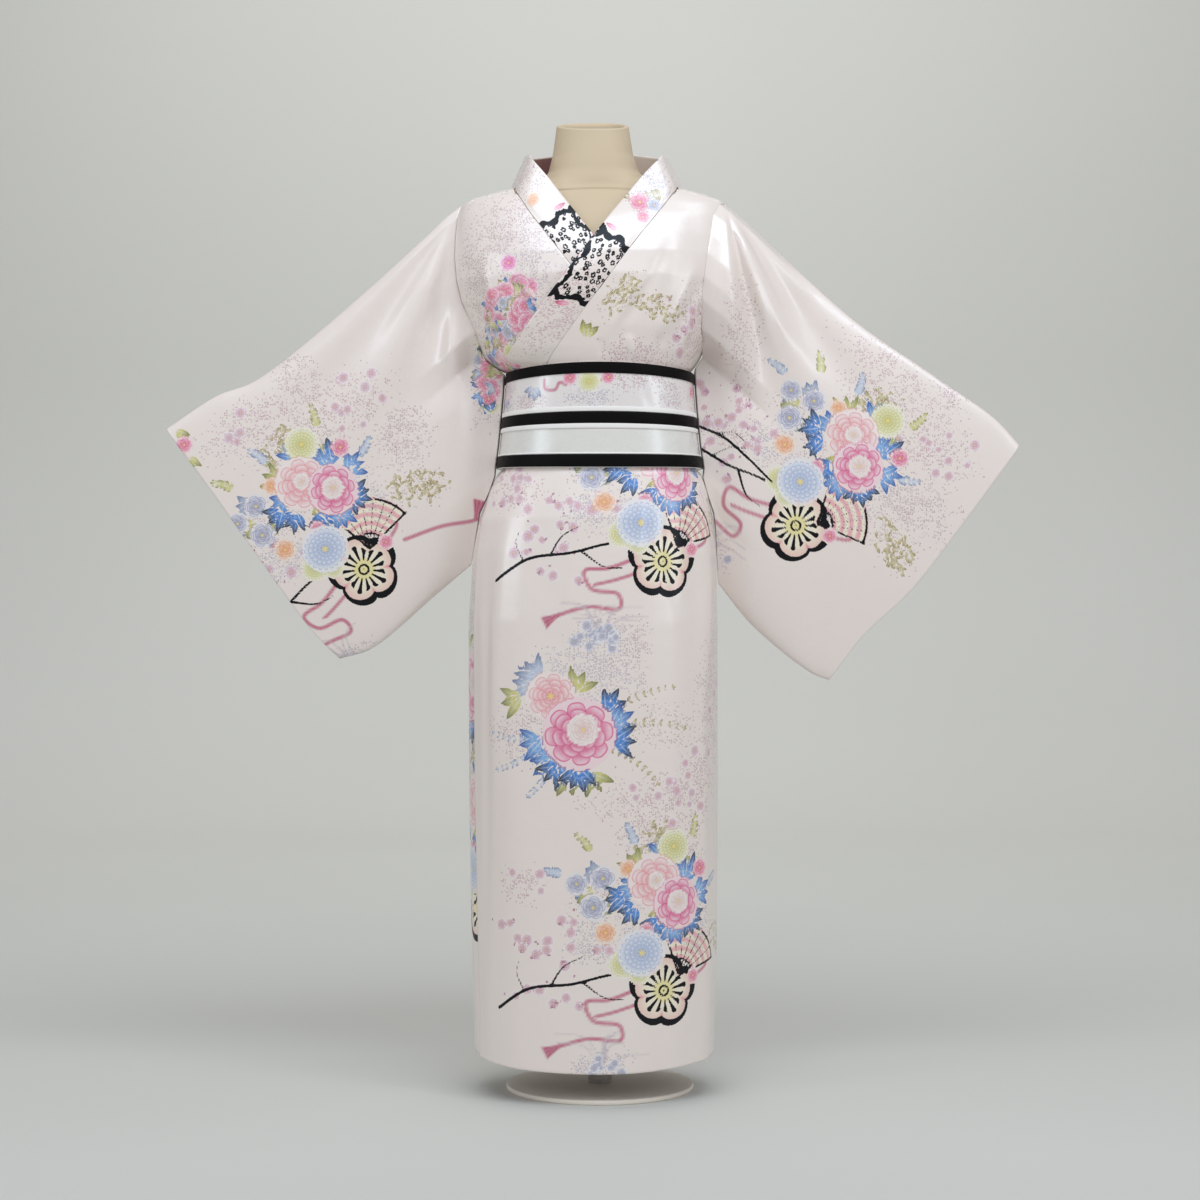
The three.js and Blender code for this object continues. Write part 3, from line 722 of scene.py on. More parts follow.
    def cord(self, place: Place, points: Line, width: float) -> None:
        """Paint a pink silk cord with a darker edge."""
        index, off, _ = self._off(place, points)
        silk = shade(CORD_PINK, CORD_DEEP, smooth(0.1, 0.5, off / width))
        self.tint(index, self.cover(place, width / 2 - off), silk)

    def tassel(self, place: Place, length: float = 26.0) -> None:
        """Paint a tassel that hangs from its place along x."""
        index, x, y = self.local(place, length * 1.2)
        part = np.clip(x / length, 0, 1)
        half = 2.6 + 7.0 * part**1.3
        inside = np.minimum(half - np.abs(y), np.minimum(x, length - x))
        threads = 0.5 + 0.5 * np.cos(y / np.maximum(half, 0.1) * 9)
        self.tint(index, self.cover(place, inside), shade(CORD_PINK, CORD_DEEP, threads))

    def grass(self, place: Place, count: int, reach: float, seed: int) -> None:
        """Paint thin arching blades of grass."""
        draw = np.random.default_rng(seed)
        for k in range(count):
            lean = draw.uniform(-1, 1)
            tip = (lean * reach, reach * draw.uniform(0.25, 0.75))
            points = ((0, 0), (tip[0] * 0.4, tip[1] * 0.9), tip)
            self.stroke(place.at(draw.uniform(-8, 8), draw.uniform(-6, 6)), points, 1.0, srgb(206, 190, 196))

    # Larger ornaments.

    def crest(self, place: Place, radius: float) -> None:
        """Paint a round plum crest: five broad lobes outlined in black round a cream heart with stamens."""
        index, x, y = self.local(place, radius * 1.25)
        r, turn = np.hypot(x, y), np.arctan2(y, x)
        lobe = np.abs(np.cos(2.5 * turn))
        edge = radius * (0.80 + 0.20 * lobe**0.6)
        pink = smooth(0.55, 0.95, r / edge) * (0.35 + 0.65 * smooth(0.25, 0.0, lobe))
        self.tint(index, self.cover(place, edge - r), shade(FAN_CREAM, srgb(232, 120, 142), pink))
        heart = radius * 0.34
        self.tint(index, self.cover(place, heart - r) * 0.85, srgb(240, 226, 150))
        width = radius * (0.085 + 0.03 * np.sin(3 * turn + 1))
        ink = width - np.abs(r - edge)
        spoke = 0.5 + 0.5 * np.cos(turn * 15)
        length = radius * (0.62 + 0.08 * np.cos(turn * 5))
        rays = np.minimum(np.minimum(r - radius * 0.26, length - r), (spoke - 0.62) * r * 0.42)
        knobs = 2.4 - np.hypot(r - length, (1 - spoke) * r * 0.12)
        ring = 1.6 - np.abs(r - radius * 0.14)
        best = np.maximum.reduce([ink, rays, knobs, ring, 1.5 - r])
        self.ink[index] = np.maximum(self.ink[index], best)

    def fan(self, place: Place, radius: float, spread: float = 105.0, ribs: int = 7) -> None:
        """Paint an open folding fan with a striped leaf, its pivot at the place and its middle along x."""
        index, x, y = self.local(place, radius * 1.1)
        r, turn = np.hypot(x, y), np.degrees(np.arctan2(y, x))
        reach = np.maximum(r, 1)
        edge_depth = np.minimum((spread / 2 - np.abs(turn)) * reach * math.pi / 180, radius - r)
        inside = np.minimum(edge_depth, r - radius * 0.3)
        stripe = 0.5 + 0.5 * np.cos(r / radius * 6 * 2 * math.pi)
        self.tint(index, self.cover(place, inside), shade(FAN_CREAM, FAN_PINK, smooth(0.3, 0.7, stripe)))
        step = spread / ribs
        rib = 0.8 - np.abs((turn + spread / 2 + step / 2) % step - step / 2) * reach * math.pi / 180
        rim = 1.7 - np.abs(r - radius * 0.97)
        foot = 1.3 - np.abs(r - radius * 0.3)
        guard = 1.6 - np.abs(np.abs(turn) - spread / 2) * reach * math.pi / 180
        lines = np.maximum.reduce([rib, rim, foot, guard])
        lines = np.minimum(lines, np.minimum(radius + 1.5 - r, edge_depth + 2.5))
        self.ink[index] = np.maximum(self.ink[index], lines)

    def ring_dots(self, place: Place, width: float, height: float) -> None:
        """Mark a patch that is filled with open black rings."""
        index, x, y = self.local(place, max(width, height))
        inside = np.minimum(width / 2 - np.abs(x), height / 2 - np.abs(y))
        self.rings[index] = np.maximum(self.rings[index], inside)


def soft_line(points: Line, count: int) -> Array:
    """Return a smooth line through a few points, which bends evenly between them.

    Args:
        points: the points that it passes.
        count: how many points to return.

    Returns:
        The points along the line, evenly spaced.
    """
    given = np.array(points, float)
    ends = np.concatenate([[2 * given[0] - given[1]], given, [2 * given[-1] - given[-2]]])
    parts = []
    for i in range(1, len(ends) - 2):
        p0, p1, p2, p3 = ends[i - 1 : i + 3]
        d0, d1, d2 = (max(float(np.hypot(*(b - a))) ** 0.5, 1e-4) for a, b in ((p0, p1), (p1, p2), (p2, p3)))
        m1 = ((p1 - p0) / d0 - (p2 - p0) / (d0 + d1) + (p2 - p1) / d1) * d1
        m2 = ((p2 - p1) / d1 - (p3 - p1) / (d1 + d2) + (p3 - p2) / d2) * d1
        t = np.linspace(0, 1, LINE_STEPS, endpoint=False)[:, None]
        parts.append(p1 + m1 * t + (3 * (p2 - p1) - 2 * m1 - m2) * t**2 + (2 * (p1 - p2) + m1 + m2) * t**3)
    line = np.concatenate([*parts, given[-1:]])
    run = np.concatenate([[0.0], np.cumsum(np.hypot(*np.diff(line, axis=0).T))])
    even = np.linspace(0, run[-1], count)
    return np.column_stack([np.interp(even, run, line[:, k]) for k in (0, 1)])


# ---- The printed design ----


class Print(Canvas):
    """The print of the satin: bouquets with plum branches, crests, fans and cords, and loose sprays."""

    def bouquet(self, place: Place, seed: int) -> None:
        """Paint the large bouquet about its pale blue chrysanthemum."""
        for x, y, w, h, colour, density in (
            (-60, 20, 90, 60, LILAC, 0.9), (-40, 75, 110, 60, MAUVE, 0.7), (30, 170, 120, 60, MAUVE, 0.8),
            (60, 140, 90, 60, TAUPE, 0.7), (95, 30, 50, 90, LILAC, 0.7),
        ):
            self.sprinkle(place.at(x, y), w, h, colour, density)
        self.leaflets(place.at(26, 164, 10), 88, 48, seed)
        self.leaflets(place.at(166, 10, -25), 96, 52, seed + 3)
        for x, y, turn, leafage in (
            (-108, 112, 160, GREY_LEAF), (-70, 142, 115, OLIVE_LEAF), (-10, 150, 95, GREY_LEAF),
            (80, 158, 60, OLIVE_LEAF), (108, 92, 10, GREY_LEAF),
        ):
            self.spray(place.at(x, y, turn), 34, 5, 11, leafage, 30)
        for x, y, turn, leafage in (
            (-62, 112, 150, GREY_LEAF), (-80, 100, 200, GREY_LEAF), (-52, 66, 190, GREY_LEAF),
            (-42, 60, 140, OLIVE_LEAF), (-70, 84, 170, OLIVE_LEAF), (64, 122, 70, OLIVE_LEAF),
            (28, 62, 250, OLIVE_LEAF),
        ):
            self.spread(place.at(x, y, turn), 3, 27, 12, 70, leafage)
        self.bud(place.at(-70, 66), 18, GREY_CLOUD)
        self.bud(place.at(-93, 100), 15, GREY_CLOUD)
        self.bud(place.at(-56, 108), 17, GREY_CLOUD)
        for x, y, turn, count, leafage in (
            (-10, 92, 160, 4, BLUE_LEAF), (-8, 66, 212, 4, INK_TIPPED), (-26, 80, 186, 3, INK_TIPPED),
            (62, 104, 62, 4, BLUE_LEAF), (78, 112, 34, 3, INK_TIPPED), (28, 46, 250, 5, INK_TIPPED),
            (48, 38, 280, 4, BLUE_LEAF), (76, 48, 316, 5, INK_TIPPED), (90, 84, 10, 4, BLUE_LEAF),
            (-6, 122, 128, 3, OLIVE_LEAF), (34, 138, 104, 3, BLUE_LEAF),
        ):
            self.spread(place.at(x, y, turn), count, 33, 12.5, 25 * count, leafage)
        self.bud(place.at(-52, 30), 15, PEACH_BUD)
        self.bud(place.at(-20, 122), 12, PEACH_BUD)
        self.bud(place.at(98, 118), 13, PINK_BUD)
        self.bud(place.at(6, 32), 10, PINK_BUD)
        self.daisy(place.at(50, 152), 24, YELLOW_DAISY)
        self.daisy(place.at(-27, -16), 19, YELLOW_DAISY)
        self.daisy(place.at(-4, -30), 14, YELLOW_DAISY)
        self.daisy(place.at(0, 0), 33, BLUE_DAISY)
        self.peony(place.at(20, 102, 20), 38, PALE_PEONY)
        self.peony(place.at(56, 70, 65), 36, PINK_PEONY)
        self.peony(place.at(57, 72, 20), 15, CREAM_HEART)
        self.bud(place.at(22, 104), 11, CREAM_HEART)
        self.sprinkle(place.at(10, 215), 170, 60, PLUM_PINK, 0.5)
        self.sprinkle(place.at(96, 240), 60, 110, MAUVE, 0.6)

    def ornaments(self, place: Place, seed: int) -> None:
        """Paint the black plum branch, the crest, the fan and the tasselled cord below a bouquet."""
        self.plum_sprig(place.at(-215, 30, -8), 120, 8, seed)
        self.plum_sprig(place.at(-170, -22, 20), 150, 9, seed + 1)
        self.plum_sprig(place.at(-190, -70, 4), 110, 6, seed + 2)
        branch = ((-212, -84), (-160, -52), (-100, -44), (-40, -30), (-6, -34))
        self.ink_line(place, branch, 4.6, 0.25)
        self.ink_line(place, ((-130, -48), (-112, -20), (-84, -4)), 3.2, 0.6)
        self.ink_line(place, ((-84, -42), (-52, -64), (-26, -66)), 3.6, 0.5)
        self.ink_line(place, ((-168, -56), (-180, -30), (-176, -12)), 2.6, 0.6)
        wound = ((-8, -52), (-46, -66), (-80, -70), (-70, -96), (-32, -104), (-30, -124), (-76, -122))
        self.cord(place, (*wound, (-118, -134)), 5)
        self.cord(place, ((-8, -74), (-40, -84), (-66, -90)), 4.4)
        self.cord(place, ((84, -40), (112, -22), (104, -2), (78, -14)), 4.4)
        self.tassel(place.at(-116, -133, 208))
        self.fan(place.at(58, -34, 62), 76, 96)
        self.crest(place.at(34, -56, 12), 50)
        self.bud(place.at(84, -38), 10, PINK_BUD)

    def lilac(self, place: Place, seed: int) -> None:
        """Paint a lilac cluster with arching grass."""
        self.grass(place.at(0, 4), 9, 70, seed)
        self.sprinkle(place, 78, 44, LILAC, 1.0)
        draw = np.random.default_rng(seed)
        for _ in range(9):
            spot = place.at(draw.normal(0, 20), draw.normal(0, 9), draw.uniform(0, 90))
            self.bud(spot, draw.uniform(5, 8), GREY_CLOUD)

    def single_peony(self, place: Place) -> None:
        """Paint the smaller group: a large pink peony, a pale one behind it and sprays to both sides."""
        self.sprinkle(place.at(18, 88), 140, 80, LILAC, 1.0)
        self.sprinkle(place.at(60, 130), 80, 70, MAUVE, 0.8)
        for x, y, turn, length in (
            (38, 10, 12, 120), (40, 30, 34, 104), (36, -16, -22, 96), (-44, -6, 190, 84),
            (-52, -16, 222, 78), (-34, -34, 250, 66),
        ):
            self.spray(place.at(x, y, turn), length, 9, 9.5, GOLD_LEAF if turn < 180 else GREY_LEAF, -30)
        self.sprinkle(place.at(-84, 0), 100, 70, MAUVE, 0.6)
        for x, y, turn, count, leafage in (
            (-66, 68, 165, 3, GREY_LEAF), (-58, 80, 130, 3, GREY_LEAF), (-84, 50, 195, 3, OLIVE_LEAF),
            (-6, 62, 60, 3, OLIVE_LEAF), (-14, -58, 280, 3, OLIVE_LEAF), (16, -56, 300, 3, OLIVE_LEAF),
            (38, 34, 42, 4, INK_TIPPED), (46, 14, 12, 4, BLUE_LEAF), (50, -8, -6, 3, INK_TIPPED),
            (-38, -36, 205, 4, BLUE_LEAF), (-26, -46, 240, 4, INK_TIPPED), (2, -50, 262, 4, INK_TIPPED),
            (-54, -12, 190, 3, BLUE_LEAF),
        ):
            self.spread(place.at(x, y, turn), count, 38, 14, 26 * count, leafage)
        self.peony(place.at(-40, 54, 30), 34, PALE_PEONY)
        self.peony(place, 50, PINK_PEONY)
        self.peony(place.at(6, 6, 30), 21, CREAM_HEART)
        self.sprinkle(place.at(120, 10), 120, 60, TAUPE, 0.4)

    def posy(self, place: Place, width: float, height: float, seed: int) -> None:
        """Paint a crowded group of small flowers and leaves over an oval."""
        draw = np.random.default_rng(seed)
        self.sprinkle(place, width * 1.3, height * 1.2, MAUVE, 0.9)
        greens = (INK_TIPPED, OLIVE_LEAF, BLUE_LEAF, OLIVE_LEAF, GREY_LEAF, GOLD_LEAF)
        blooms = (PINK_PEONY, PINK_BUD, PALE_PEONY, PINK_PEONY, PINK_BUD, YELLOW_DAISY, PINK_BUD, GREY_CLOUD)
        count = int(width * height / 210)
        for k in range(2 * count + count // 3):
            reach, way = math.sqrt(draw.random()) / 2, draw.uniform(0, 2 * math.pi)
            x, y = width * reach * math.cos(way), height * reach * math.sin(way)
            spot = place.at(x, y, draw.uniform(0, 360))
            if k < count or k >= 2 * count:
                self.spread(spot, 2 + k % 2, draw.uniform(11, 18), 7.5, 80, greens[k % len(greens)])
            else:
                size = draw.uniform(9, 15) if k % 3 else draw.uniform(4, 7)
                self.peony(spot, size, blooms[int(draw.integers(len(blooms)))])

    def leaflets(self, place: Place, width: float, height: float, seed: int) -> None:
        """Paint loose gold leaflets over an oval."""
        draw = np.random.default_rng(seed)
        self.sprinkle(place, width * 0.9, height * 0.9, TAUPE, 0.5)
        for _ in range(int(width * height / 62)):
            reach, way = draw.random() ** 0.7 / 2, draw.uniform(0, 2 * math.pi)
            spot = place.at(width * reach * math.cos(way), height * reach * math.sin(way), draw.normal(0, 55))
            self.leaf(spot, draw.uniform(7, 10), draw.uniform(4, 5.4), GOLD_LEAF)

    def plum_field(self, place: Place, width: float, height: float, seed: int) -> None:
        """Paint loose plum blossoms over a patch."""
        draw = np.random.default_rng(seed)
        self.sprinkle(place, width, height, PLUM_PINK, 0.55)
        for _ in range(int(width * height / 900)):
            x, y = draw.uniform(-0.5, 0.5) * width, draw.uniform(-0.5, 0.5) * height
            spot = place.at(x, y, draw.uniform(0, 72))
            self.blossom(spot, draw.uniform(5, 8.5), PLUM_PINK if draw.random() < 0.6 else MAUVE)

    def repeat(self, place: Place, seed: int) -> None:
        """Paint one whole repeat: ornaments, the bouquet over them and the lilac below."""
        self.ornaments(place, seed)
        self.bouquet(place, seed)
        self.lilac(place.at(-56, -165), seed)


# ---- Materials ----


class Nodes:
    """A small hand for building a material's nodes, in which an input takes a socket or a constant."""

    def __init__(self, name: str) -> None:
        self.material = bpy.data.materials.new(name)
        self.material.use_nodes = True
        self.tree = self.material.node_tree
        self.shader = self.tree.nodes["Principled BSDF"]

    def feed(self, socket: Socket, value: object) -> None:
        """Link a socket to another one, or set its constant."""
        if isinstance(value, Socket):
            self.tree.links.new(value, socket)
        elif socket.type == "RGBA":
            socket.default_value = (*value, 1.0)
        else:
            socket.default_value = value

    def add(self, kind: str, inputs: Inputs | None = None, **settings: object) -> bpy.types.Node:
        """Add a node, set its properties and feed its inputs."""
        node = self.tree.nodes.new(f"ShaderNode{kind}")
        for key, value in settings.items():
            setattr(node, key, value)
        for key, value in (inputs or {}).items():
            self.feed(node.inputs[key], value)
        return node

    def math(self, operation: str, a: object, b: object = 0.0, clamp: bool = False) -> Socket:
        """Return the result of a math node."""
        return self.add("Math", {0: a, 1: b}, operation=operation, use_clamp=clamp).outputs[0]

    times, plus = partialmethod(math, "MULTIPLY"), partialmethod(math, "ADD")
    less, most = partialmethod(math, "SUBTRACT"), partialmethod(math, "MAXIMUM")

    def blend(self, factor: object, a: object, b: object) -> Socket:
        """Return two colours mixed by a factor."""
        return self.add("Mix", {0: factor, 6: a, 7: b}, data_type="RGBA").outputs[2]

    def span(self, value: object, low: float, high: float, a: float, b: float) -> Socket:
        """Return a value moved from one range to another, held at its ends."""
        return self.add("MapRange", dict(enumerate((value, low, high, a, b)))).outputs[0]

    def noise(self, vector: object, scale: float, detail: float = 3.0) -> Socket:
        """Return a noise value from 0 to 1."""
        return self.add("TexNoise", {"Vector": vector, "Scale": scale, "Detail": detail}).outputs["Fac"]

    def patchy(self, vector: object, scale: float, a: float, b: float, detail: float = 3.0) -> Socket:
        """Return a value that wanders softly between two others."""
        return self.span(self.noise(vector, scale, detail), 0.3, 0.7, a, b)

    def bands(self, vector: object, direction: str, scale: float, distortion: float) -> Socket:
        """Return the height of woven or knitted rows."""
        inputs = {"Vector": vector, "Scale": scale, "Distortion": distortion}
        return self.add("TexWave", inputs, wave_type="BANDS", bands_direction=direction).outputs["Fac"]

    def cells(self, vector: object, size: float, randomness: float) -> tuple[object, Sequence[object]]:
        """Return the distance from the middle of each cell, and three values drawn for the cell."""
        inputs = {"Vector": vector, "Scale": 1 / size, "Randomness": randomness}
        node = self.add("TexVoronoi", inputs, voronoi_dimensions="2D")
        return node.outputs["Distance"], self.add("SeparateColor", {0: node.outputs["Color"]}).outputs

    def bump(self, height: object, depth: float, strength: float, under: object = None) -> Socket:
        """Return a normal bumped by a height, with the depth in metres."""
        inputs = {"Strength": strength, "Distance": depth, "Height": height}
        if under is not None:
            inputs["Normal"] = under
        return self.add("Bump", inputs).outputs[0]

    def attribute(self, name: str, output: str = "Fac") -> Socket:
        """Return an attribute of the mesh."""
        return self.add("Attribute", attribute_name=name).outputs[output]

    def set(self, **values: object) -> None:
        """Feed the shader's sockets, by their names with underscores."""
        for key, value in values.items():
            self.feed(self.shader.inputs[key.replace("_", " ")], value)

    def place(self) -> Socket:
        """Return the object's coordinates."""
        return self.add("TexCoord").outputs["Object"]

    def cloth(self) -> Socket:
        """Return the cloth's own coordinates."""
        return self.add("UVMap", uv_map="cloth").outputs[0]


class Motifs:
    """Flowers and leaves of the print, drawn from the place of each point in its motif.

    Args:
        nodes: the material's nodes.
    """

    RINGS = ((1, 1, 0.37), (0.79, 0.87, 0.74), (0.57, 0.72, 1.11), (0.37, 0.6, 1.48))
    HEART = srgb(248, 226, 140)
    VEIN = srgb(232, 238, 246)

    def __init__(self, nodes: Nodes) -> None:
        self.n = nodes
        place = nodes.add("SeparateXYZ", {0: nodes.attribute("motif", "Vector")})
        self.x, self.y, self.petals = place.outputs
        self.foot, self.tip = (nodes.attribute(f"motif_{end}", "Color") for end in ("foot", "tip"))

    def _ring(
        self, under: object, r: object, turn: object, size: float, ratio: float, phase: float
    ) -> Socket:
        """Return the colour with one ring of petals laid over what is under it."""
        n = self.n
        count = n.math("ROUND", n.times(self.petals, ratio))
        part = n.math("FRACT", n.plus(n.times(turn, count), phase + 4))
        across = n.math("ABSOLUTE", n.less(n.times(part, 2), 1))
        notch = n.times(n.math("POWER", across, 3), 0.22)
        wave = n.math("SINE", n.plus(n.times(turn, 4 * math.pi), phase * 3))
        edge = n.times(n.plus(n.less(0.96, notch), n.times(wave, 0.035)), size)
        inside = n.less(edge, r)
        along = n.math("DIVIDE", r, edge, clamp=True)
        petal = n.blend(n.math("POWER", along, 1.6), self.foot, self.tip)
        vein = n.span(n.math("COSINE", n.times(part, 8 * math.pi)), -0.2, 1, 0, 0.4)
        gap = n.span(across, 0.82, 1, 0, 0.8)
        rim = n.span(inside, 0.03, 0.07, 0.55, 0)
        petal = n.blend(n.most(n.most(n.times(vein, n.less(1, along)), gap), rim), petal, self.foot)
        light = n.times(n.span(along, 0.7, 0.9, 0, 0.5), n.span(across, 0.3, 0.8, 1, 0))
        petal = n.blend(n.times(light, n.span(inside, 0.04, 0.08, 0, 1)), petal, WHITE)
        return n.blend(n.span(inside, 0, 0.02, 0, 1), under, petal)

    def over(self, colour: Socket) -> Socket:
        """Return a colour with the motifs laid over it."""
        n = self.n
        r = n.math("SQRT", n.plus(n.math("POWER", self.x, 2), n.math("POWER", self.y, 2)))
        turn = n.math("DIVIDE", n.math("ARCTAN2", self.y, self.x), 2 * math.pi)
        flower = colour
        for size, ratio, phase in self.RINGS:
            flower = self._ring(flower, r, turn, size, ratio, phase)
        star = n.times(n.math("COSINE", n.times(turn, 14 * math.pi)), 0.05)
        flower = n.blend(n.span(n.less(n.plus(star, 0.15), r), 0, 0.03, 0, 0.9), flower, self.HEART)
        colour = n.blend(n.math("GREATER_THAN", self.petals, 0.5), colour, flower)
        along = n.most(n.math("MINIMUM", self.x, 1), 0)
        width = n.math("SINE", n.times(n.math("POWER", along, 0.8), math.pi))
        width = n.math("POWER", n.most(width, 0), 0.8)
        off = n.math("ABSOLUTE", self.y)
        leaf = n.blend(n.span(along, 0.35, 0.85, 0, 1), self.foot, self.tip)
        ribs = n.math("COSINE", n.plus(n.times(along, 26), n.times(off, 5)))
        pale = n.most(n.span(ribs, 0.2, 1, 0, 0.3), n.span(off, 0.06, 0.2, 0.75, 0))
        leaf = n.blend(n.times(pale, n.less(1, along)), leaf, self.VEIN)
        shown = n.span(n.less(width, off), 0, 0.1, 0, 1)
        is_leaf = n.math("LESS_THAN", n.math("ABSOLUTE", self.petals), 0.5)
        return n.blend(n.times(shown, is_leaf), colour, leaf)


PURE_WHITE = (1.0, 1.0, 1.0)
BAND_PITCH = 0.16  # a band texture of this scale has rows one unit apart
STITCHING = srgb(150, 124, 96)


@dataclass(frozen=True)
class PrintedSatin:
    """Printed satin: painted colours, tiny florets and crisp black ink on a softly shining weave."""

    name: str
    roughness: float = 0.33
    floret: float = 0.0031
    weave: float = 0.0007
    ring_dot: float = 0.0085

    def make(self) -> Material:
        """Return the material."""
        n = Nodes(self.name)
        uv = n.cloth()
        dust = n.add("Attribute", attribute_name="dust").outputs
        distance, pick = n.cells(uv, self.floret, 0.85)
        ring = n.span(n.math("ABSOLUTE", n.less(distance, 0.27)), 0.06, 0.15, 1, 0)
        core = n.span(distance, 0.05, 0.12, 0.8, 0)
        patchy = n.span(n.noise(uv, 60), 0.38, 0.6, 0.3, 1.7)
        shown = n.math("LESS_THAN", pick[0], n.times(dust["Alpha"], patchy))
        amount = n.times(n.times(n.most(ring, core), shown), n.span(pick[1], 0, 1, 0.35, 0.9))
        floret = n.blend(n.span(pick[2], 0.5, 1, 0, 0.7), dust["Color"], TAUPE)
        colour = n.blend(amount, n.attribute("print_colour", "Color"), floret)
        colour = n.blend(n.span(n.noise(uv, 260, 4), 0.35, 0.75, 0, 0.09), colour, PURE_WHITE)
        colour = Motifs(n).over(colour)
        ragged = n.plus(n.attribute("ink"), n.patchy(uv, 420, -0.5, 0.5, 2))
        black = n.most(n.span(ragged, -0.3, 0.3, 0, 1), self._rings(n, uv))
        colour = n.blend(black, colour, BLACK_INK)
        back = n.add("NewGeometry").outputs["Backfacing"]
        threads = n.bands(uv, "DIAGONAL", BAND_PITCH / self.weave, 0.4)
        crinkle = n.bump(n.noise(uv, 38), 0.0011, 0.55)
        n.set(
            Base_Color=n.blend(n.times(back, 0.3), colour, GROUND),
            Normal=n.bump(threads, 0.00003, 0.35, crinkle),
            Roughness=n.patchy(uv, 24, self.roughness - 0.05, self.roughness + 0.06),
            Specular_IOR_Level=n.span(black, 0, 1, 1, 0.25),
            Sheen_Weight=n.span(black, 0, 1, 0.1, 0),
            Coat_Weight=n.span(black, 0, 1, 0.8, 0.05),
            Sheen_Roughness=0.35,
            Anisotropic=0.3,
            Coat_Roughness=0.24,
            Coat_IOR=1.6,
            Specular_Tint=(0.72, 0.86, 1),
            Sheen_Tint=(0.8, 0.9, 1),
        )
        return n.material

    def _rings(self, n: Nodes, uv: Socket) -> Socket:
        """Return how black the ring dots are at each point."""
        squeeze = n.add("Mapping", {"Vector": uv, "Scale": (0.75, 1, 1), "Rotation": (0, 0, 0.5)})
        distance, pick = n.cells(squeeze.outputs[0], self.ring_dot, 1)
        distance = n.plus(distance, n.patchy(uv, 420, -0.1, 0.1, 1))
        open_ring = n.math("ABSOLUTE", n.less(distance, n.span(pick[0], 0, 0.7, 0.3, 0.16)))
        patch = n.span(n.attribute("rings"), -0.5, 0.5, 0, 1)
        return n.times(n.span(open_ring, 0.11, 0.16, 1, 0), patch)


@dataclass(frozen=True)
class RibbedRibbon:
    """Woven ribbon or trim with fine ribs across it."""

    name: str
    colour: Colour
    roughness: float
    rib: float = 0.0009
    sheen: float = 0.1
    gloss: float = 0.5

    def make(self) -> Material:
        """Return the material."""
        n = Nodes(self.name)
        uv = n.cloth()
        lighter = tuple(min(1, c * 1.25 + 0.004) for c in self.colour)
        ribs = n.bands(uv, "X", BAND_PITCH / self.rib, 0.6)
        n.set(
            Base_Color=n.blend(n.patchy(uv, 60, 0, 0.18), self.colour, lighter),
            Normal=n.bump(ribs, 0.00005, 0.5, n.bump(n.noise(uv, 30), 0.0008, 0.4)),
            Roughness=n.patchy(uv, 90, self.roughness - 0.05, self.roughness + 0.05),
            Specular_IOR_Level=self.gloss,
            Sheen_Weight=self.sheen,
            Sheen_Roughness=0.4,
        )
        return n.material


@dataclass(frozen=True)
class Jersey:
    """Fine knitted cover stretched over a hard form."""

    name: str
    colour: Colour
    shade: Colour

    def make(self) -> Material:
        """Return the material."""
        n = Nodes(self.name)
        where = n.place()
        colour = n.blend(n.times(n.patchy(where, 9, 0, 1), 0.45), self.colour, self.shade)
        knit = n.bands(where, "Z", 160, 1.2)
        n.set(
            Base_Color=n.blend(n.span(n.attribute("seam"), -1.2, 0.4, 0, 0.5), colour, STITCHING),
            Normal=n.bump(knit, 0.00006, 0.4, n.bump(n.noise(where, 700, 2), 0.0001, 0.5)),
            Roughness=n.patchy(where, 40, 0.62, 0.78),
            Sheen_Weight=0.08,
            Sheen_Roughness=0.5,
            Specular_IOR_Level=0.35,
        )
        return n.material


@dataclass(frozen=True)
class HardFinish:
    """Brushed metal or powder coat."""

    name: str
    colour: Colour
    roughness: float
    metallic: float
    brushed: bool

    def make(self) -> Material:
        """Return the material."""
        n = Nodes(self.name)
        stretch, scale, depth = (60, 30, 0.00005) if self.brushed else (1, 900, 0.00015)
        where = n.add("Mapping", {"Vector": n.place(), "Scale": (1, 1, stretch)}).outputs[0]
        grain = n.noise(where, scale, 4)
        darker = tuple(c * 0.82 for c in self.colour)
        n.set(
            Base_Color=n.blend(n.span(grain, 0.3, 0.7, 0, 0.6), self.colour, darker),
            Roughness=n.span(grain, 0.3, 0.7, self.roughness - 0.06, self.roughness + 0.08),
            Normal=n.bump(grain, depth, 0.4),
            Metallic=self.metallic,
        )
        return n.material


@dataclass(frozen=True)
class StudioPaint:
    """Plain matt backdrop."""

    name: str
    colour: Colour

    def make(self) -> Material:
        """Return the material."""
        n = Nodes(self.name)
        tone = n.patchy(n.place(), 0.6, 0, 0.06, 2)
        n.set(Base_Color=n.blend(tone, self.colour, PURE_WHITE), Roughness=0.85, Specular_IOR_Level=0.2)
        return n.material


SATIN = PrintedSatin("printed_satin")
OBI_SATIN = PrintedSatin("obi_satin", roughness=0.26)
BLACK_RIBBON = RibbedRibbon("black_ribbon", srgb(10, 8, 9), 0.5, sheen=0.0, gloss=0.1)
WHITE_TRIM = RibbedRibbon("white_trim", srgb(246, 243, 240), 0.4, sheen=0.2)
FORM_COVER = Jersey("form_cover", srgb(214, 196, 168), srgb(205, 186, 156))
CAP_COVER = Jersey("cap_cover", srgb(190, 176, 152), srgb(180, 165, 140))
STEEL = HardFinish("brushed_steel", srgb(214, 214, 216), 0.3, 1.0, True)
BASE_PAINT = HardFinish("base_paint", srgb(243, 234, 222), 0.6, 0.0, False)


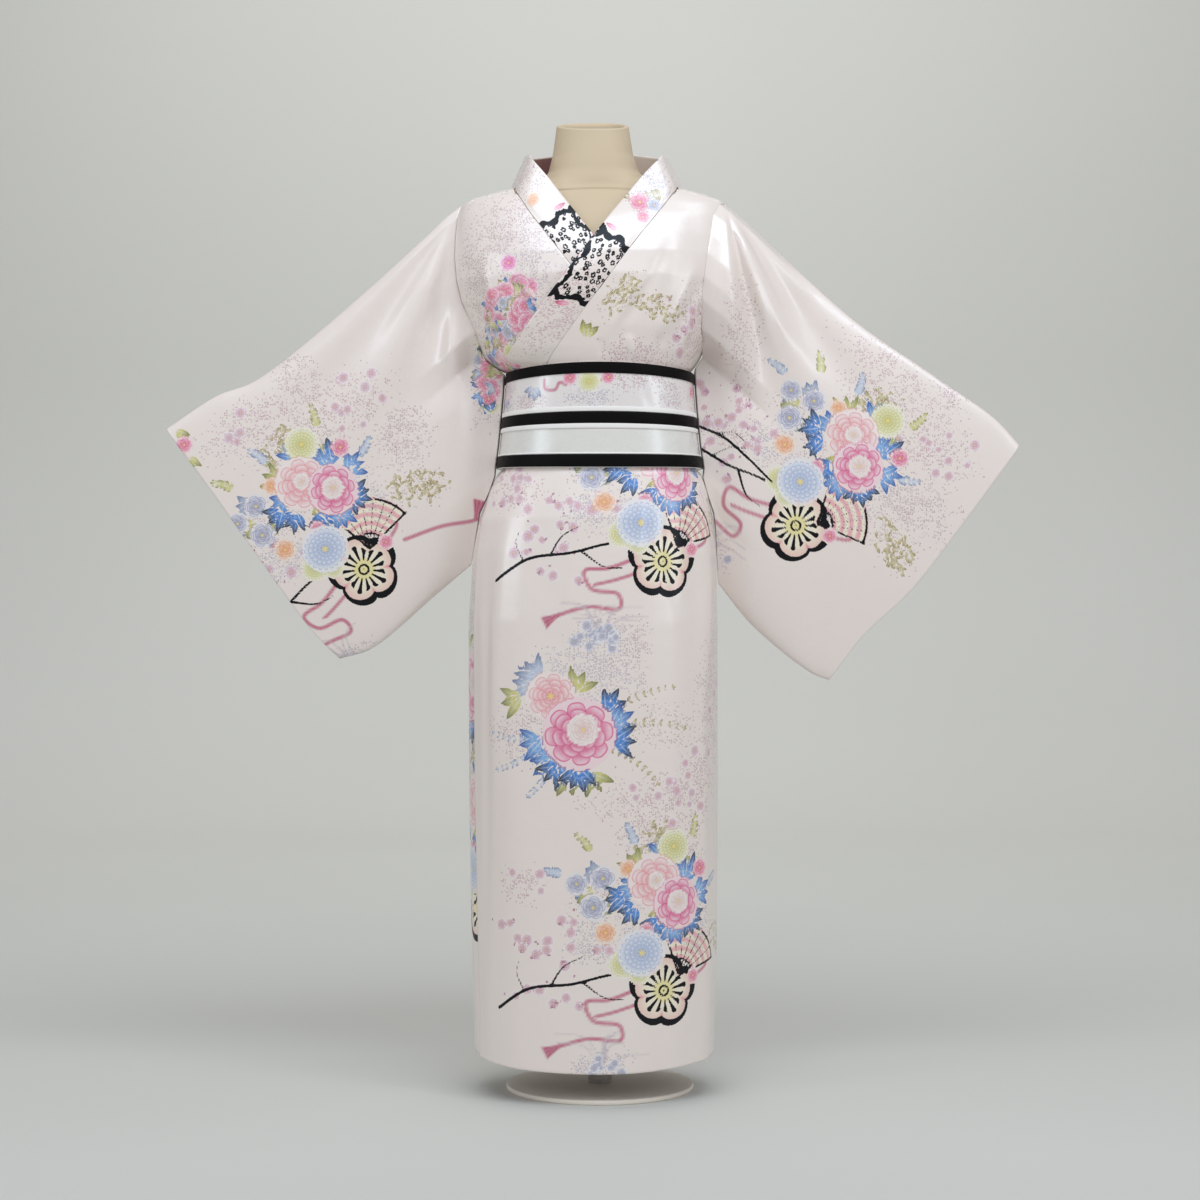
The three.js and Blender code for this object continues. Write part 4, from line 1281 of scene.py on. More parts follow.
def dress(made: Piece, finish: Material, slot: str, *nodes: str) -> Piece:
    """Give a finished piece its material and body, and hide the CAD nodes that it stands for.

    Args:
        made: the piece.
        finish: its material.
        slot: the record's material slot; not used.
        nodes: names of the CAD nodes that it replaces.

    Returns:
        The piece.
    """
    made.data.materials.clear()
    made.data.materials.append(finish)
    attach(made, ROOT)
    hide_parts(*nodes)
    LOG.info("%s: %d faces", made.name, len(made.data.polygons))
    return made


def area_of(made: Piece) -> float:
    """Return a piece's surface in square metres."""
    return sum(face.area for face in made.data.polygons)


# ---- Fronts and back ----

CHEST_CREASES = creases(
    (150, 1240, 60, 1105, 13, 3.2, 14), (100, 1262, 24, 1120, 9, -2.2, 10),
    (70, 1210, 10, 1095, 8, 2.4, -8), (168, 1190, 120, 1092, 10, 2.6, -6),
    (-180, 1250, -120, 1100, 14, 3.0, -12), (-150, 1220, -96, 1110, 9, -2.0, 8),
    (-118, 1200, -70, 1098, 8, 2.2, 6), (128, 1130, 118, 1082, 7, 2.4), (88, 1122, 84, 1082, 6, -2.0),
    (40, 1118, 46, 1082, 7, 2.0), (0, 1112, 6, 1082, 6, -1.6), (-150, 1120, -140, 1082, 6, 2.2),
    (-100, 1116, -96, 1082, 7, -1.8),
)
SKIRT_CREASES = creases(
    (150, 915, 176, 560, 22, 3.4, 14), (104, 910, 120, 690, 12, -2.2, -8), (52, 912, 44, 760, 9, 1.8, 6),
    (-20, 912, -40, 640, 16, 2.0, -10), (-84, 910, -110, 560, 18, -2.6, 12),
    (-130, 912, -160, 420, 16, 3.2, -10), (-178, 880, -190, 120, 12, -2.4, 8),
    (190, 800, 196, 180, 14, -2.8, -8), (120, 420, 138, 70, 24, 2.6, 10),
    (-60, 380, -74, 60, 26, 2.2, -12), (20, 300, 34, 56, 20, -1.8, 8),
)
BACK_CREASES = creases(
    (-120, 1240, -60, 1100, 13, 3.0, -10), (130, 1230, 74, 1100, 12, 3.0, 10),
    (-20, 1260, -30, 1096, 10, -2.2, 8), (60, 1200, 30, 1092, 8, 2.0, -6),
    (-170, 1190, -130, 1096, 10, 2.6, 6), (160, 1180, 130, 1094, 9, -2.2, -5),
    (-140, 912, -176, 420, 20, 3.2, 14), (-70, 912, -84, 620, 12, -2.4, -8),
    (0, 912, 10, 520, 16, 2.4, 10), (70, 912, 96, 560, 14, -2.6, 8), (140, 912, 170, 380, 20, 3.4, -14),
    (-40, 420, -52, 60, 24, 2.4, 10), (110, 380, 124, 60, 22, -2.2, -8),
)

# The levels at which the solid's panels have their edges, which are straight in between.
EDGE_LEVELS = (
    48, 130, 850, 890, 914, 920, 960, 1000, 1040, 1076, 1081, 1088,
    1100, 1130, 1172, 1205, 1240, 1270, 1300, 1318, 1327, 1337, 1345,
)


@dataclass
class Panels:
    """The over front, the under front and the back."""

    satin: Material
    rims: dict[Side, dict[bool, Array]]
    hem_turn: float = 16.0
    seam_angle: float = 0.004
    edge_turn: float = 8.0
    edge_gap: float = 0.7
    lap_reach: float = 7.0
    front_drop: float = 2.6
    back_drop: float = 3.8
    obi_zones: tuple[tuple[float, float, float], ...] = ((914, 926, 3), (926, 1078, 10))

    def side_angle(self, z: Array, back: bool, side: Side) -> Array:
        """Return the angle of a panel's outer edge at each level.

        Args:
            z: levels.
            back: whether it is the back's edge.
            side: which side of the garment.

        Returns:
            The angle at the side seam, the armhole or the shoulder seam.
        """
        edge = []
        for level in EDGE_LEVELS:
            if ARMHOLE_BOTTOM <= level < ARMHOLE_TOP:
                rim = self.rims[side][back]
                out = float(np.interp(level, rim[:, 0], rim[:, 1])) - LIP
                edge.append(float(angle_at_x(side.value * out, level)))
            else:
                edge.append(math.pi - self.seam_angle if side is Side.LEFT else self.seam_angle)
        return np.interp(z, EDGE_LEVELS, edge)

    @staticmethod
    def _edge(table: Table, z: Array, gap: float) -> Array:
        """Return the angle of a front's inner edge at each level."""
        edge = [float(angle_at_x(float(np.interp(h, *np.array(table.rows).T)) + gap, h)) for h in EDGE_LEVELS]
        return np.interp(z, EDGE_LEVELS, edge)

    def _grid(self, z: Array, start: Array, end: Array, shares: Array, back: bool, over: bool) -> Cloth:
        """Return a panel's cloth between two edges, with columns at shares of the way across."""
        angle = start[:, None] + (end - start)[:, None] * shares[None, :]
        height = np.repeat(z[:, None], len(shares), axis=1)
        u = girth(angle, height, back)
        folded = BACK_CREASES if back else (*CHEST_CREASES, *SKIRT_CREASES)
        points = body_point(angle, height, back, over, folded, u)
        cloth = Cloth(points, np.stack([u, height], axis=-1), flip=not back)
        return cloth.hem(Border.FIRST_ROW, self.hem_turn)

    def over_front(self) -> Piece:
        """Make the over front."""
        z = levels((48, 914, 2.6), *self.obi_zones, (1078, 1345, 2.5))
        edges = self.side_angle(z, False, Side.RIGHT), self._edge(OVER_EDGE, z, self.edge_gap)
        cloth = self._grid(z, *edges, np.linspace(0, 1, 186), False, True)
        cloth = cloth.hem(Border.LAST_COLUMN, self.edge_turn)
        cloth = cloth.underlap(Border.FIRST_COLUMN, self.lap_reach, self.front_drop)
        canvas = Print(cloth.uv, 2.4)
        self._paint_skirt(canvas)
        self._paint_right_chest(canvas)
        return self._finish(cloth, canvas, "kimono_over_front", "front_over")

    def under_front(self) -> Piece:
        """Make the under front."""
        z = levels((48, 914, 6), *self.obi_zones, (1078, 1345, 2.5))
        edges = self._edge(UNDER_EDGE, z, -self.edge_gap), self.side_angle(z, False, Side.LEFT)
        cloth = self._grid(z, *edges, np.linspace(0, 1, 120) ** 0.9, False, False)
        cloth = cloth.hem(Border.FIRST_COLUMN, self.edge_turn)
        cloth = cloth.underlap(Border.LAST_COLUMN, self.lap_reach, self.front_drop)
        canvas = Print(cloth.uv, 2.6)
        self._paint_left_chest(canvas)
        return self._finish(cloth, canvas, "kimono_under_front", "front_under")

    def back_panel(self) -> Piece:
        """Make the back."""
        z = levels((48, 914, 3.4), *self.obi_zones, (1078, 1345, 3))
        edges = (self.side_angle(z, True, side) for side in (Side.RIGHT, Side.LEFT))
        cloth = self._grid(z, *edges, np.linspace(0, 1, 150), True, False)
        for border in (Border.FIRST_COLUMN, Border.LAST_COLUMN):
            cloth = cloth.underlap(border, self.lap_reach, self.back_drop)
        canvas = Print(cloth.uv, 3.2)
        self._paint_back(canvas)
        return self._finish(cloth, canvas, "kimono_back", "back")

    def _finish(
        self, cloth: Cloth, canvas: Print, name: str, node: str
    ) -> Piece:
        """Turn a painted panel into its piece."""
        made = dress(cloth.to_object(name, canvas), self.satin, "satin", node)
        return made

    @staticmethod
    def _paint_skirt(canvas: Print) -> None:
        """Paint the skirt of the over front."""
        canvas.repeat(Place(58, 842), 11)
        canvas.repeat(Place(60, 221), 23)
        canvas.single_peony(Place(-30, 537))
        canvas.lilac(Place(0, 676), 37)
        canvas.plum_field(Place(-150, 905), 60, 60, 41)
        canvas.plum_field(Place(150, 470), 70, 90, 43)
        canvas.plum_field(Place(-130, 890), 90, 50, 45)
        canvas.sprinkle(Place(190, 560), 80, 200, MAUVE, 0.5)
        canvas.plum_field(Place(215, 640), 60, 160, 47)
        canvas.plum_field(Place(100, 440), 110, 70, 49)
        canvas.plum_field(Place(-110, 320), 60, 50, 51)

    @staticmethod
    def _paint_right_chest(canvas: Print) -> None:
        """Paint the chest of the over front."""
        canvas.leaflets(Place(28, 1172, 50), 84, 36, 54)
        canvas.leaflets(Place(84, 1158, -14), 78, 38, 55)
        canvas.spread(Place(-22, 1112, 65), 3, 26, 12, 60, OLIVE_LEAF)
        canvas.sprinkle(Place(50, 1085), 90, 50, PLUM_PINK, 0.8)
        canvas.sprinkle(Place(148, 1130), 70, 110, MAUVE, 0.8)
        canvas.plum_sprig(Place(120, 1090, 70), 90, 6, 53)

    @staticmethod
    def _paint_left_chest(canvas: Print) -> None:
        """Paint the chest of the under front, and the strip of its skirt that shows."""
        canvas.sprinkle(Place(-130, 1262), 130, 110, MAUVE, 0.75)
        canvas.sprinkle(Place(-190, 1200), 60, 150, TAUPE, 0.8)
        canvas.sprinkle(Place(-110, 1216), 90, 70, LILAC, 0.8)
        canvas.sprinkle(Place(-75, 1110), 80, 70, PLUM_PINK, 1.0)
        canvas.posy(Place(-118, 1178, 0), 60, 36, 62)
        canvas.posy(Place(-152, 1118, -12), 74, 150, 64)
        canvas.posy(Place(-98, 1128, 0), 66, 70, 66)
        canvas.sprinkle(Place(-72, 1120), 70, 80, PLUM_PINK, 1.0)
        canvas.daisy(Place(-82, 1126), 22, GREY_CLOUD)
        canvas.bud(Place(-136, 1222, 20), 12, MAGENTA)
        canvas.leaf(Place(-66, 1102, 20), 24, 11, OLIVE_LEAF)
        canvas.plum_field(Place(-192, 900), 60, 120, 61)
        canvas.sprinkle(Place(-195, 560), 60, 260, MAUVE, 0.8)
        canvas.single_peony(Place(-225, 600, 20))
        canvas.repeat(Place(-240, 330), 67)

    @staticmethod
    def _paint_back(canvas: Print) -> None:
        """Paint the back panel."""
        canvas.repeat(Place(-70, 1180, 12), 71)
        canvas.repeat(Place(40, 760), 73)
        canvas.repeat(Place(-40, 240), 79)
        canvas.single_peony(Place(120, 500))
        canvas.single_peony(Place(110, 1120, -20))
        canvas.plum_field(Place(-150, 560), 120, 120, 97)
        canvas.plum_field(Place(130, 980), 80, 60, 99)


# ---- Sleeves ----


@dataclass(frozen=True)
class Ray:
    """A sleeve fold that falls from the shoulder point.

    Args:
        angle: its steepness below level, in degrees.
        width: half its width, in the same degrees.
        height: how far it stands out.
        start: distance from the shoulder at which it is full.
        end: distance at which it has died away.
    """

    angle: float
    width: float
    height: float
    start: float
    end: float


@dataclass(frozen=True)
class SleeveCut:
    """Outline and folds of one sleeve; distances are measured away from the axis.

    Args:
        side: which side of the garment.
        top: points of the top edge as distance and height.
        cuff: points of the cuff.
        bottom: points of the bottom edge.
        rim: rows of height, reach of the front layer and reach of the back layer at the armhole.
        front: folds of the front layer.
        back: folds of the back layer.
    """

    side: Side
    top: Line
    cuff: Line
    bottom: Line
    rim: tuple[tuple[float, float, float], ...]
    front: tuple[Ray, ...]
    back: tuple[Ray, ...]


LEFT_CUT = SleeveCut(
    side=Side.LEFT,
    top=((199.8, 1327), (222, 1311), (255, 1280), (514, 1061), (576, 1036), (651, 987)),
    cuff=((651, 987), (594, 911), (514, 800), (430, 684), (390, 642)),
    bottom=((195, 783), (250, 735), (343, 657), (390, 642)),
    rim=(
        (1327, 199.8, 199.8), (1318, 207, 207), (1300, 213, 213), (1270, 216, 216), (1240, 217, 217),
        (1205, 214, 214), (1172, 206, 206), (1130, 184, 184), (1092, 176.5, 176.5), (1079, 160, 160),
        (1068, 144, 142.6), (1040, 145.8, 144.6), (1000, 149.2, 148.1), (960, 153.2, 152.2),
        (926, 157.4, 156.8), (915, 158, 157.8), (893, 165.4, 165.4), (860, 180.4, 180.4),
        (783, 193.2, 193.2),
    ),
    front=(
        Ray(86, 5, 12, 60, 520), Ray(76, 5, -8, 90, 480), Ray(66, 5, 7, 80, 420),
        Ray(54, 5, -5, 120, 560), Ray(45, 4, 5, 160, 520), Ray(60, 3, 3, 60, 300),
        Ray(81, 2.5, -4, 80, 330),
    ),
    back=(
        Ray(82, 6, 10, 60, 480), Ray(70, 5, -7, 90, 460), Ray(58, 6, 7, 100, 520), Ray(48, 4, -5, 120, 480),
    ),
)
RIGHT_CUT = SleeveCut(
    side=Side.RIGHT,
    top=((183.8, 1327), (204, 1311), (381, 1150), (490, 1074), (594, 1001), (630, 962)),
    cuff=((630, 962), (540, 841), (465, 745), (391, 674), (343, 610)),
    bottom=((179, 755), (229, 692), (318, 620), (343, 610)),
    rim=(
        (1327, 183.8, 183.8), (1318, 178, 190), (1300, 168, 194), (1270, 163, 194), (1240, 158, 192),
        (1205, 153, 186), (1172, 149, 177), (1130, 150, 164), (1092, 153.4, 155.4), (1079, 143.6, 143.6),
        (1068, 142.6, 141.3), (1040, 144.4, 143.4), (1000, 147.6, 146.5), (960, 151.6, 150.6),
        (926, 156.5, 155.7), (913, 154.6, 154.3), (885, 162.4, 162.4), (860, 170.6, 170.6),
        (838, 173.2, 173.2), (755, 177.4, 177.4),
    ),
    front=(
        Ray(88, 7, 16, 40, 330), Ray(77, 4, -10, 70, 420), Ray(66, 6, 14, 40, 430),
        Ray(55, 4, -6, 90, 480), Ray(47, 3.5, 5, 60, 420), Ray(71, 2, 4, 60, 300),
        Ray(60, 2, -3, 60, 330),
    ),
    back=(Ray(84, 6, 10, 60, 420), Ray(71, 5, -8, 80, 480), Ray(60, 6, 9, 90, 500), Ray(50, 4, -5, 120, 480)),
)
SLEEVE_DEPTH = ((0, 0.3, 0.7, 1), (44, 34, 24, 17))
SLEEVE_LEAST = 6.0
LIP_REACH = 0.35
BACK_LAYER = 3000.0  # the back layer is painted this far along u, turned over


@dataclass
class Sleeve:
    """One wide sleeve: a flat tube, open at the armhole, at its inner edge and at the cuff."""

    cut: SleeveCut
    satin: Material
    cuff_turn: float = 14.0
    rim_turn: float = 5.0
    along: int = 176
    front_rows: int = 196
    back_rows: int = 120

    def _coons(self, s: Array, t: Array, back: bool) -> tuple[Array, Array]:
        """Return the distance from the axis and the height of points on one layer."""
        cut = self.cut
        top, cuff, bottom = (soft_line(p, 400) for p in (cut.top, cut.cuff, cut.bottom))
        even = np.linspace(0, 1, 400)
        rim = np.array(cut.rim)
        rim_z = mix(rim[0, 0], rim[-1, 0], t)
        rim_out = np.interp(-rim_z, -rim[:, 0], rim[:, 2 if back else 1])
        result = []
        for k, rim_value in ((0, rim_out), (1, rim_z)):
            a, b = np.interp(s, even, top[:, k]), np.interp(s, even, bottom[:, k])
            c = np.interp(t, even, cuff[:, k])
            upper, lower = mix(top[0, k], top[-1, k], s), mix(bottom[0, k], bottom[-1, k], s)
            result.append(mix(a, b, t) + mix(rim_value, c, s) - mix(upper, lower, t))
        return result[0], result[1]

    def _rim_depth(self, t: Array, back: bool) -> Array:
        """Return how far the rim of the sleeve lies off its middle."""
        rim = np.array(self.cut.rim)
        depths = []
        for i, row in enumerate(rim):
            if i in (0, len(rim) - 1):
                depths.append(0.0)
            elif row[0] < ARMHOLE_BOTTOM:
                depths.append(FURI)
            else:
                angle = angle_at_x(self.cut.side.value * row[2 if back else 1], row[0])
                depths.append(abs(float(body_point(np.array([angle]), np.array([row[0]]), back)[0, 1])))
        z = mix(rim[0, 0], rim[-1, 0], t)
        return np.interp(-z, -rim[:, 0], depths)

    def _folds(self, x: Array, z: Array, back: bool) -> Array:
        """Return the height of the folds at points of one layer."""
        shoulder = self.cut.rim[0]
        dx, dz = x - shoulder[1], shoulder[0] - z
        reach, steep = np.hypot(dx, dz), np.degrees(np.arctan2(dz, dx))
        total = np.zeros_like(x)
        for ray in self.cut.back if back else self.cut.front:
            grown = smooth(0, ray.start, reach) * (1 - smooth(ray.start, ray.end, reach) ** 2)
            total += ray.height * grown * np.exp(-(((steep - ray.angle) / ray.width) ** 2))
        return total

    def _layer(self, s: Array, t: Array, back: bool) -> tuple[Array, Array]:
        """Return the points and the flat coordinates of one layer."""
        s, t = np.meshgrid(s, t, indexing="ij")
        x, z = self._coons(s, t, back)
        profile = np.clip(4 * t * (1 - t), 0, 1) ** 0.4
        full = np.interp(s, *SLEEVE_DEPTH) * profile
        lip = 1 - smooth(0, LIP_REACH, s)
        plain = mix(full, self._rim_depth(t, back), lip)
        fade = smooth(0, 0.12, s) * np.minimum(1, profile**2 * 1.6)
        depth = np.maximum(plain + self._folds(x, z, back) * fade, np.minimum(plain, SLEEVE_LEAST))
        depth = np.where(profile > 0, depth, 0)
        side = self.cut.side.value
        points = np.stack([side * x, depth if back else -depth, z], axis=-1)
        u = BACK_LAYER - side * x if back else side * x
        return points, np.stack([u, z], axis=-1)

    @staticmethod
    def _shares(count: int) -> Array:
        """Return shares from 0 to 1 that lie closer together towards both ends."""
        even = np.linspace(0, 1, count)
        return mix(even, 0.5 - 0.5 * np.cos(math.pi * even), 0.35)

    def build(self) -> Piece:
        """Make the sleeve."""
        even = np.linspace(0, 1, self.along)
        front = self._layer(even, self._shares(self.front_rows), False)
        rear = self._layer(even, self._shares(self.back_rows)[1:-1][::-1], True)
        points, painted_uv = (np.concatenate(pair, axis=1) for pair in zip(front, rear))
        # The columns go down the front layer, so the seen side depends on the side of the garment.
        cloth = Cloth(points, painted_uv, wrap=True, flip=self.cut.side is Side.LEFT)
        cloth = cloth.hem(Border.LAST_ROW, self.cuff_turn).hem(Border.FIRST_ROW, self.rim_turn)
        canvas = Print(cloth.uv, 2.5)
        self._paint(canvas)
        flat = cloth.uv.copy()
        behind = flat[..., 0] > BACK_LAYER / 2
        flat[..., 0] = np.where(behind, BACK_LAYER - flat[..., 0], flat[..., 0])
        name = "left" if self.cut.side is Side.LEFT else "right"
        made = replace(cloth, uv=flat).to_object(f"kimono_sleeve_{name}", canvas)
        dress(made, self.satin, "satin", f"sleeve_{name}")
        return made

    def _paint(self, canvas: Print) -> None:
        """Paint both layers."""
        if self.cut.side is Side.LEFT:
            canvas.plum_field(Place(-390, 1018, 20), 150, 80, 101)
            canvas.plum_field(Place(-530, 1000, 30), 90, 50, 103)
            canvas.sprinkle(Place(-292, 975), 80, 90, MAUVE, 0.7)
            canvas.repeat(Place(-410, 806, 31), 107)
            canvas.spread(Place(-634, 984, 320), 2, 26, 10, 40, OLIVE_LEAF)
            canvas.bud(Place(-622, 962), 12, PINK_BUD)
            canvas.spread(Place(-612, 944, 300), 2, 26, 10, 40, OLIVE_LEAF)
            canvas.posy(Place(-166, 1074, -4), 34, 130, 68)
            canvas.cord(Place(-205, 862), ((52, 4), (20, -12), (-30, -22), (-86, -42)), 5)
            canvas.tassel(Place(-186, 850, 78), 30)
            canvas.repeat(Place(BACK_LAYER + 400, 850, -30), 109)
        else:
            canvas.plum_field(Place(480, 960, -20), 150, 90, 113)
            canvas.sprinkle(Place(450, 880, -30), 150, 90, MAUVE, 0.7)
            canvas.plum_field(Place(200, 985), 80, 60, 127)
            canvas.repeat(Place(298, 906, -37), 131)
            canvas.ink_line(Place(150, 985), ((0, 4), (34, -12), (66, -40), (106, -80)), 4.4, 0.3)
            canvas.ink_line(Place(150, 985), ((20, -6), (50, -6), (66, -20)), 2.6, 0.5)
            canvas.sprinkle(Place(210, 1120), 50, 160, PLUM_PINK, 0.45)
            canvas.repeat(Place(BACK_LAYER - 390, 860, 30), 137)


# ---- Collar ----


@dataclass
class Collar:
    """The collar: one strip folded double along its free edge."""

    satin: Material
    width: float = 52.0
    wall: float = 2.6
    end: float = 1040.0
    under_end: float = 1130.0
    level: tuple[float, float] = (1130.0, 1205.0)
    clear: float = 16.0
    stands: tuple[float, float] = (1285.0, 1345.0)
    standing: tuple[float, float, float] = (0.4, 0.2, 0.91)
    under_slant: tuple[float, float] = (0.802, 0.597)
    over_slant: tuple[float, float] = (-0.798, 0.603)
    loft: Table = Table(("z", "out"), ((1076, 0), (1088, 5), (1205, 4), (1270, 0)), soft=3.0)
    across: int = 26
    step: float = 2.0

    @staticmethod
    def _chest_y(x: Array, z: Array, grow: Array) -> Array:
        """Return the depth of the chest under the collar."""
        level = np.minimum(z, CHEST_TOP)
        side = np.where(x > 0, BODY.read("right", level), BODY.read("left", level)) + grow
        neckward = np.clip((z - NECK_Z) / (CHEST_NECK["z"] - NECK_Z), 0, 1)
        front = mix(BODY.read("front", z), CHEST_NECK["front"], neckward) + grow
        return -front * np.maximum(0, 1 - (np.abs(x) / side) ** SQUARENESS) ** (1 / SQUARENESS)

    def _front(self, z: Array, edge: Table, slant: tuple[float, float], over: bool) -> Array:
        """Return the lines across the collar in front, from its seam to its free edge."""
        x = edge.read("x", z)
        seam = body_point(angle_at_x(x, z), z, False, over)
        stand = smooth(*self.stands, z)
        level = 1 - smooth(*self.level, z) if over else np.zeros_like(z)
        way = math.copysign(1.0, slant[0])
        dx = mix(mix(slant[0], way * self.standing[0], stand), way, level)
        dz = mix(slant[1], self.standing[2], stand) * (1 - level)
        turned = dx * slant[0] + dz * slant[1]
        size = self.width / np.where(level > 0, turned, np.hypot(dx, dz))
        side = BODY.read("right" if way > 0 else "left", z) - self.clear
        room = np.abs(way * side - seam[:, 0]) / np.abs(dx)
        size = np.where(level > 0, np.minimum(size, room), size)
        share = np.linspace(0, 1, self.across)[None, :]
        px = seam[:, :1] + dx[:, None] * size[:, None] * share
        pz = seam[:, 2:] + dz[:, None] * size[:, None] * share + np.where(z >= NECK_Z, NECK_LIFT, 0)[:, None]
        grow = lap_at(seam[:, 0], seam[:, 2]) if over else np.zeros_like(z)
        there = lap_at(px, pz) if over else np.zeros_like(px)
        start = self._chest_y(seam[:, 0], seam[:, 2], grow)
        y = seam[:, 1:2] + (1 - stand)[:, None] * (self._chest_y(px, pz, there) - start[:, None])
        if over:
            y = y - self.loft.read("out", z)[:, None] * np.minimum(1, 2 * share)
        return np.stack([px, y, pz], axis=-1)

    def _back(self, angle: Array) -> Array:
        """Return the lines across the collar round the back of the neck."""
        seam = body_point(angle, np.full_like(angle, NECK_Z), True)
        tall = self.width / math.hypot(self.standing[0], self.standing[2])
        reach = tall * np.linspace(0, 1, self.across)[None, :]
        px = seam[:, :1] - np.cos(angle)[:, None] * self.standing[0] * reach
        py = seam[:, 1:2] - np.sin(angle)[:, None] * self.standing[1] * reach
        pz = seam[:, 2:] + NECK_LIFT + self.standing[2] * reach
        return np.stack([px, py, pz], axis=-1)

    def build(self) -> Piece:
        """Make the collar."""
        top = NECK_Z + 0.1
        under = self._front(np.arange(self.under_end, top, self.step), UNDER_EDGE, self.under_slant, False)
        around = self._back(np.linspace(math.pi, 0, 90))
        over = self._front(np.arange(self.end, top, self.step)[::-1], OVER_EDGE, self.over_slant, True)
        rows = np.concatenate([under, around, over])
        middle = rows.mean(axis=1)
        run = run_of(middle)
        even = np.linspace(0, run[-1], int(run[-1] / self.step))
        rows = np.apply_along_axis(lambda line: np.interp(even, run, line), 0, rows)
        rows = self._softened(rows, 4)
        across = np.linspace(0, self.width, self.across)
        flat = np.stack(np.meshgrid(even, across, indexing="ij"), axis=-1)
        normal = Cloth(rows, flat).normals()
        # The seen side turns away from the neck: towards the front below, outwards behind.
        outward = rows - np.array([-8.0, 0.0, 0.0])
        outward[..., 2] = 0
        sign = np.sign((normal * outward).sum(axis=-1).mean())
        normal = normal * sign
        half = self.wall / 2
        free = unit(rows[:, -1] - rows[:, -2])
        turn = [rows[:, -1] + normal[:, -1] * half * 0.7 + free * half * 0.7]
        turn.append(rows[:, -1] + free * half)
        turn.append(rows[:, -1] - normal[:, -1] * half * 0.7 + free * half * 0.7)
        thick = half * (0.35 + 0.65 * smooth(0, 9, across))[None, :, None]
        outer, inner = rows + normal * thick, (rows - normal * thick)[:, ::-1]
        points = np.concatenate([outer, np.stack(turn, axis=1), inner], axis=1)
        inside = flat[:, ::-1].copy()
        inside[..., 1] = 2 * self.width - inside[..., 1]
        middle_uv = np.repeat(flat[:, -1:], 3, axis=1)
        uv = np.concatenate([flat, middle_uv, inside], axis=1)
        cloth = Cloth(points, uv, flip=bool(sign < 0))
        canvas = Print(cloth.uv, 2.0)
        self._paint(canvas, float(even[-1]))
        made = dress(cloth.to_object("kimono_collar", canvas), self.satin, "satin", "collar")
        LOG.info("collar length %.0f mm, area %.3f", even[-1], area_of(made))
        return made

    @staticmethod
    def _softened(rows: Array, times: int) -> Array:
        """Return rows with the corners between them rounded."""
        for _ in range(times):
            inner = (rows[:-2] + 2 * rows[1:-1] + rows[2:]) / 4
            rows = np.concatenate([rows[:1], inner, rows[-1:]])
        return rows

    def _paint(self, canvas: Print, length: float) -> None:
        """Paint the strip: plain and sown stretches, two dark patches with ring dots at the crossing, and
        painted shade over the print's reverse on two stretches of the inner face.
        """
        mid = self.width / 2
        under, over = 182.0, length - 275.0
        for start, sign in ((under, 1), (over, -1)):
            patch = Place(start - sign * 54, mid)
            canvas.ring_dots(patch, 110, self.width * 1.1)
            wave = [(x, 23 + 3 * math.sin(x / 7)) for x in range(-56, 58, 8)]
            canvas.ink_line(patch, wave, 7.0, 0.0, 0.4)
            for end in (-56, 56):
                wave = [(end + 4 * math.sin(y / 5), y) for y in range(-26, 27, 5)]
                canvas.ink_line(patch, wave, 9.5, 0.0, 0.35)
            for x in (-30, 6, 34):
                canvas.leaf(patch.at(x, 29, 180), 18, 8, Shades(PINK_BUD.outer, PINK_BUD.inner))
            canvas.leaf(patch.at(sign * 68, 4, 90), 20, 9, Shades(PINK_BUD.outer, PINK_BUD.inner))
            canvas.leaf(patch.at(-sign * 66, -6, 90), 20, 9, Shades(PINK_BUD.outer, PINK_BUD.inner))
        canvas.sprinkle(Place(under + 120, mid), 120, 90, MAUVE, 0.9)
        canvas.bud(Place(under + 52, 14), 11, PEACH_BUD)
        canvas.spray(Place(over - 120, 8, 30), 60, 6, 13, GOLD_LEAF, 20)
        canvas.bud(Place(over - 76, 30), 15, PINK_BUD)
        canvas.bud(Place(over - 58, 12), 10, PINK_BUD)
        canvas.bud(Place(over - 88, 10), 11, GREY_CLOUD)
        canvas.sprinkle(Place(over - 110, mid), 90, 60, GREY_LEAF.outer, 0.6)
        canvas.sprinkle(Place(over + 130, mid), 140, 60, PLUM_PINK, 0.8)
        # Painted shade: two stretches of the collar's inner face are darkened towards these colours, the
        # print's reverse side drawn as lying in shade.
        for u, reach, amount, dark in (
            (under + 240, 150, 0.85, srgb(126, 40, 58)),
            (over - 170, 140, 0.8, srgb(150, 134, 130)),
        ):
            index, x, y = canvas.local(Place(u, self.width + mid), reach)
            canvas.tint(index, np.where(np.abs(y) < mid, amount * np.exp(-((x / 70) ** 4)), 0), dark)


# ---- Obi ----

OBI_CREASES = creases(
    (96, 1060, 120, 985, 12, 0.8, 6), (60, 1056, 84, 1000, 8, -0.6, -4), (110, 975, 126, 930, 14, 0.9, 5),
    (-110, 1050, -96, 990, 10, 0.7, -4), (-60, 976, -70, 940, 12, 0.6, 4),
    (20, 1050, 10, 1010, 14, 0.5, 4),
)


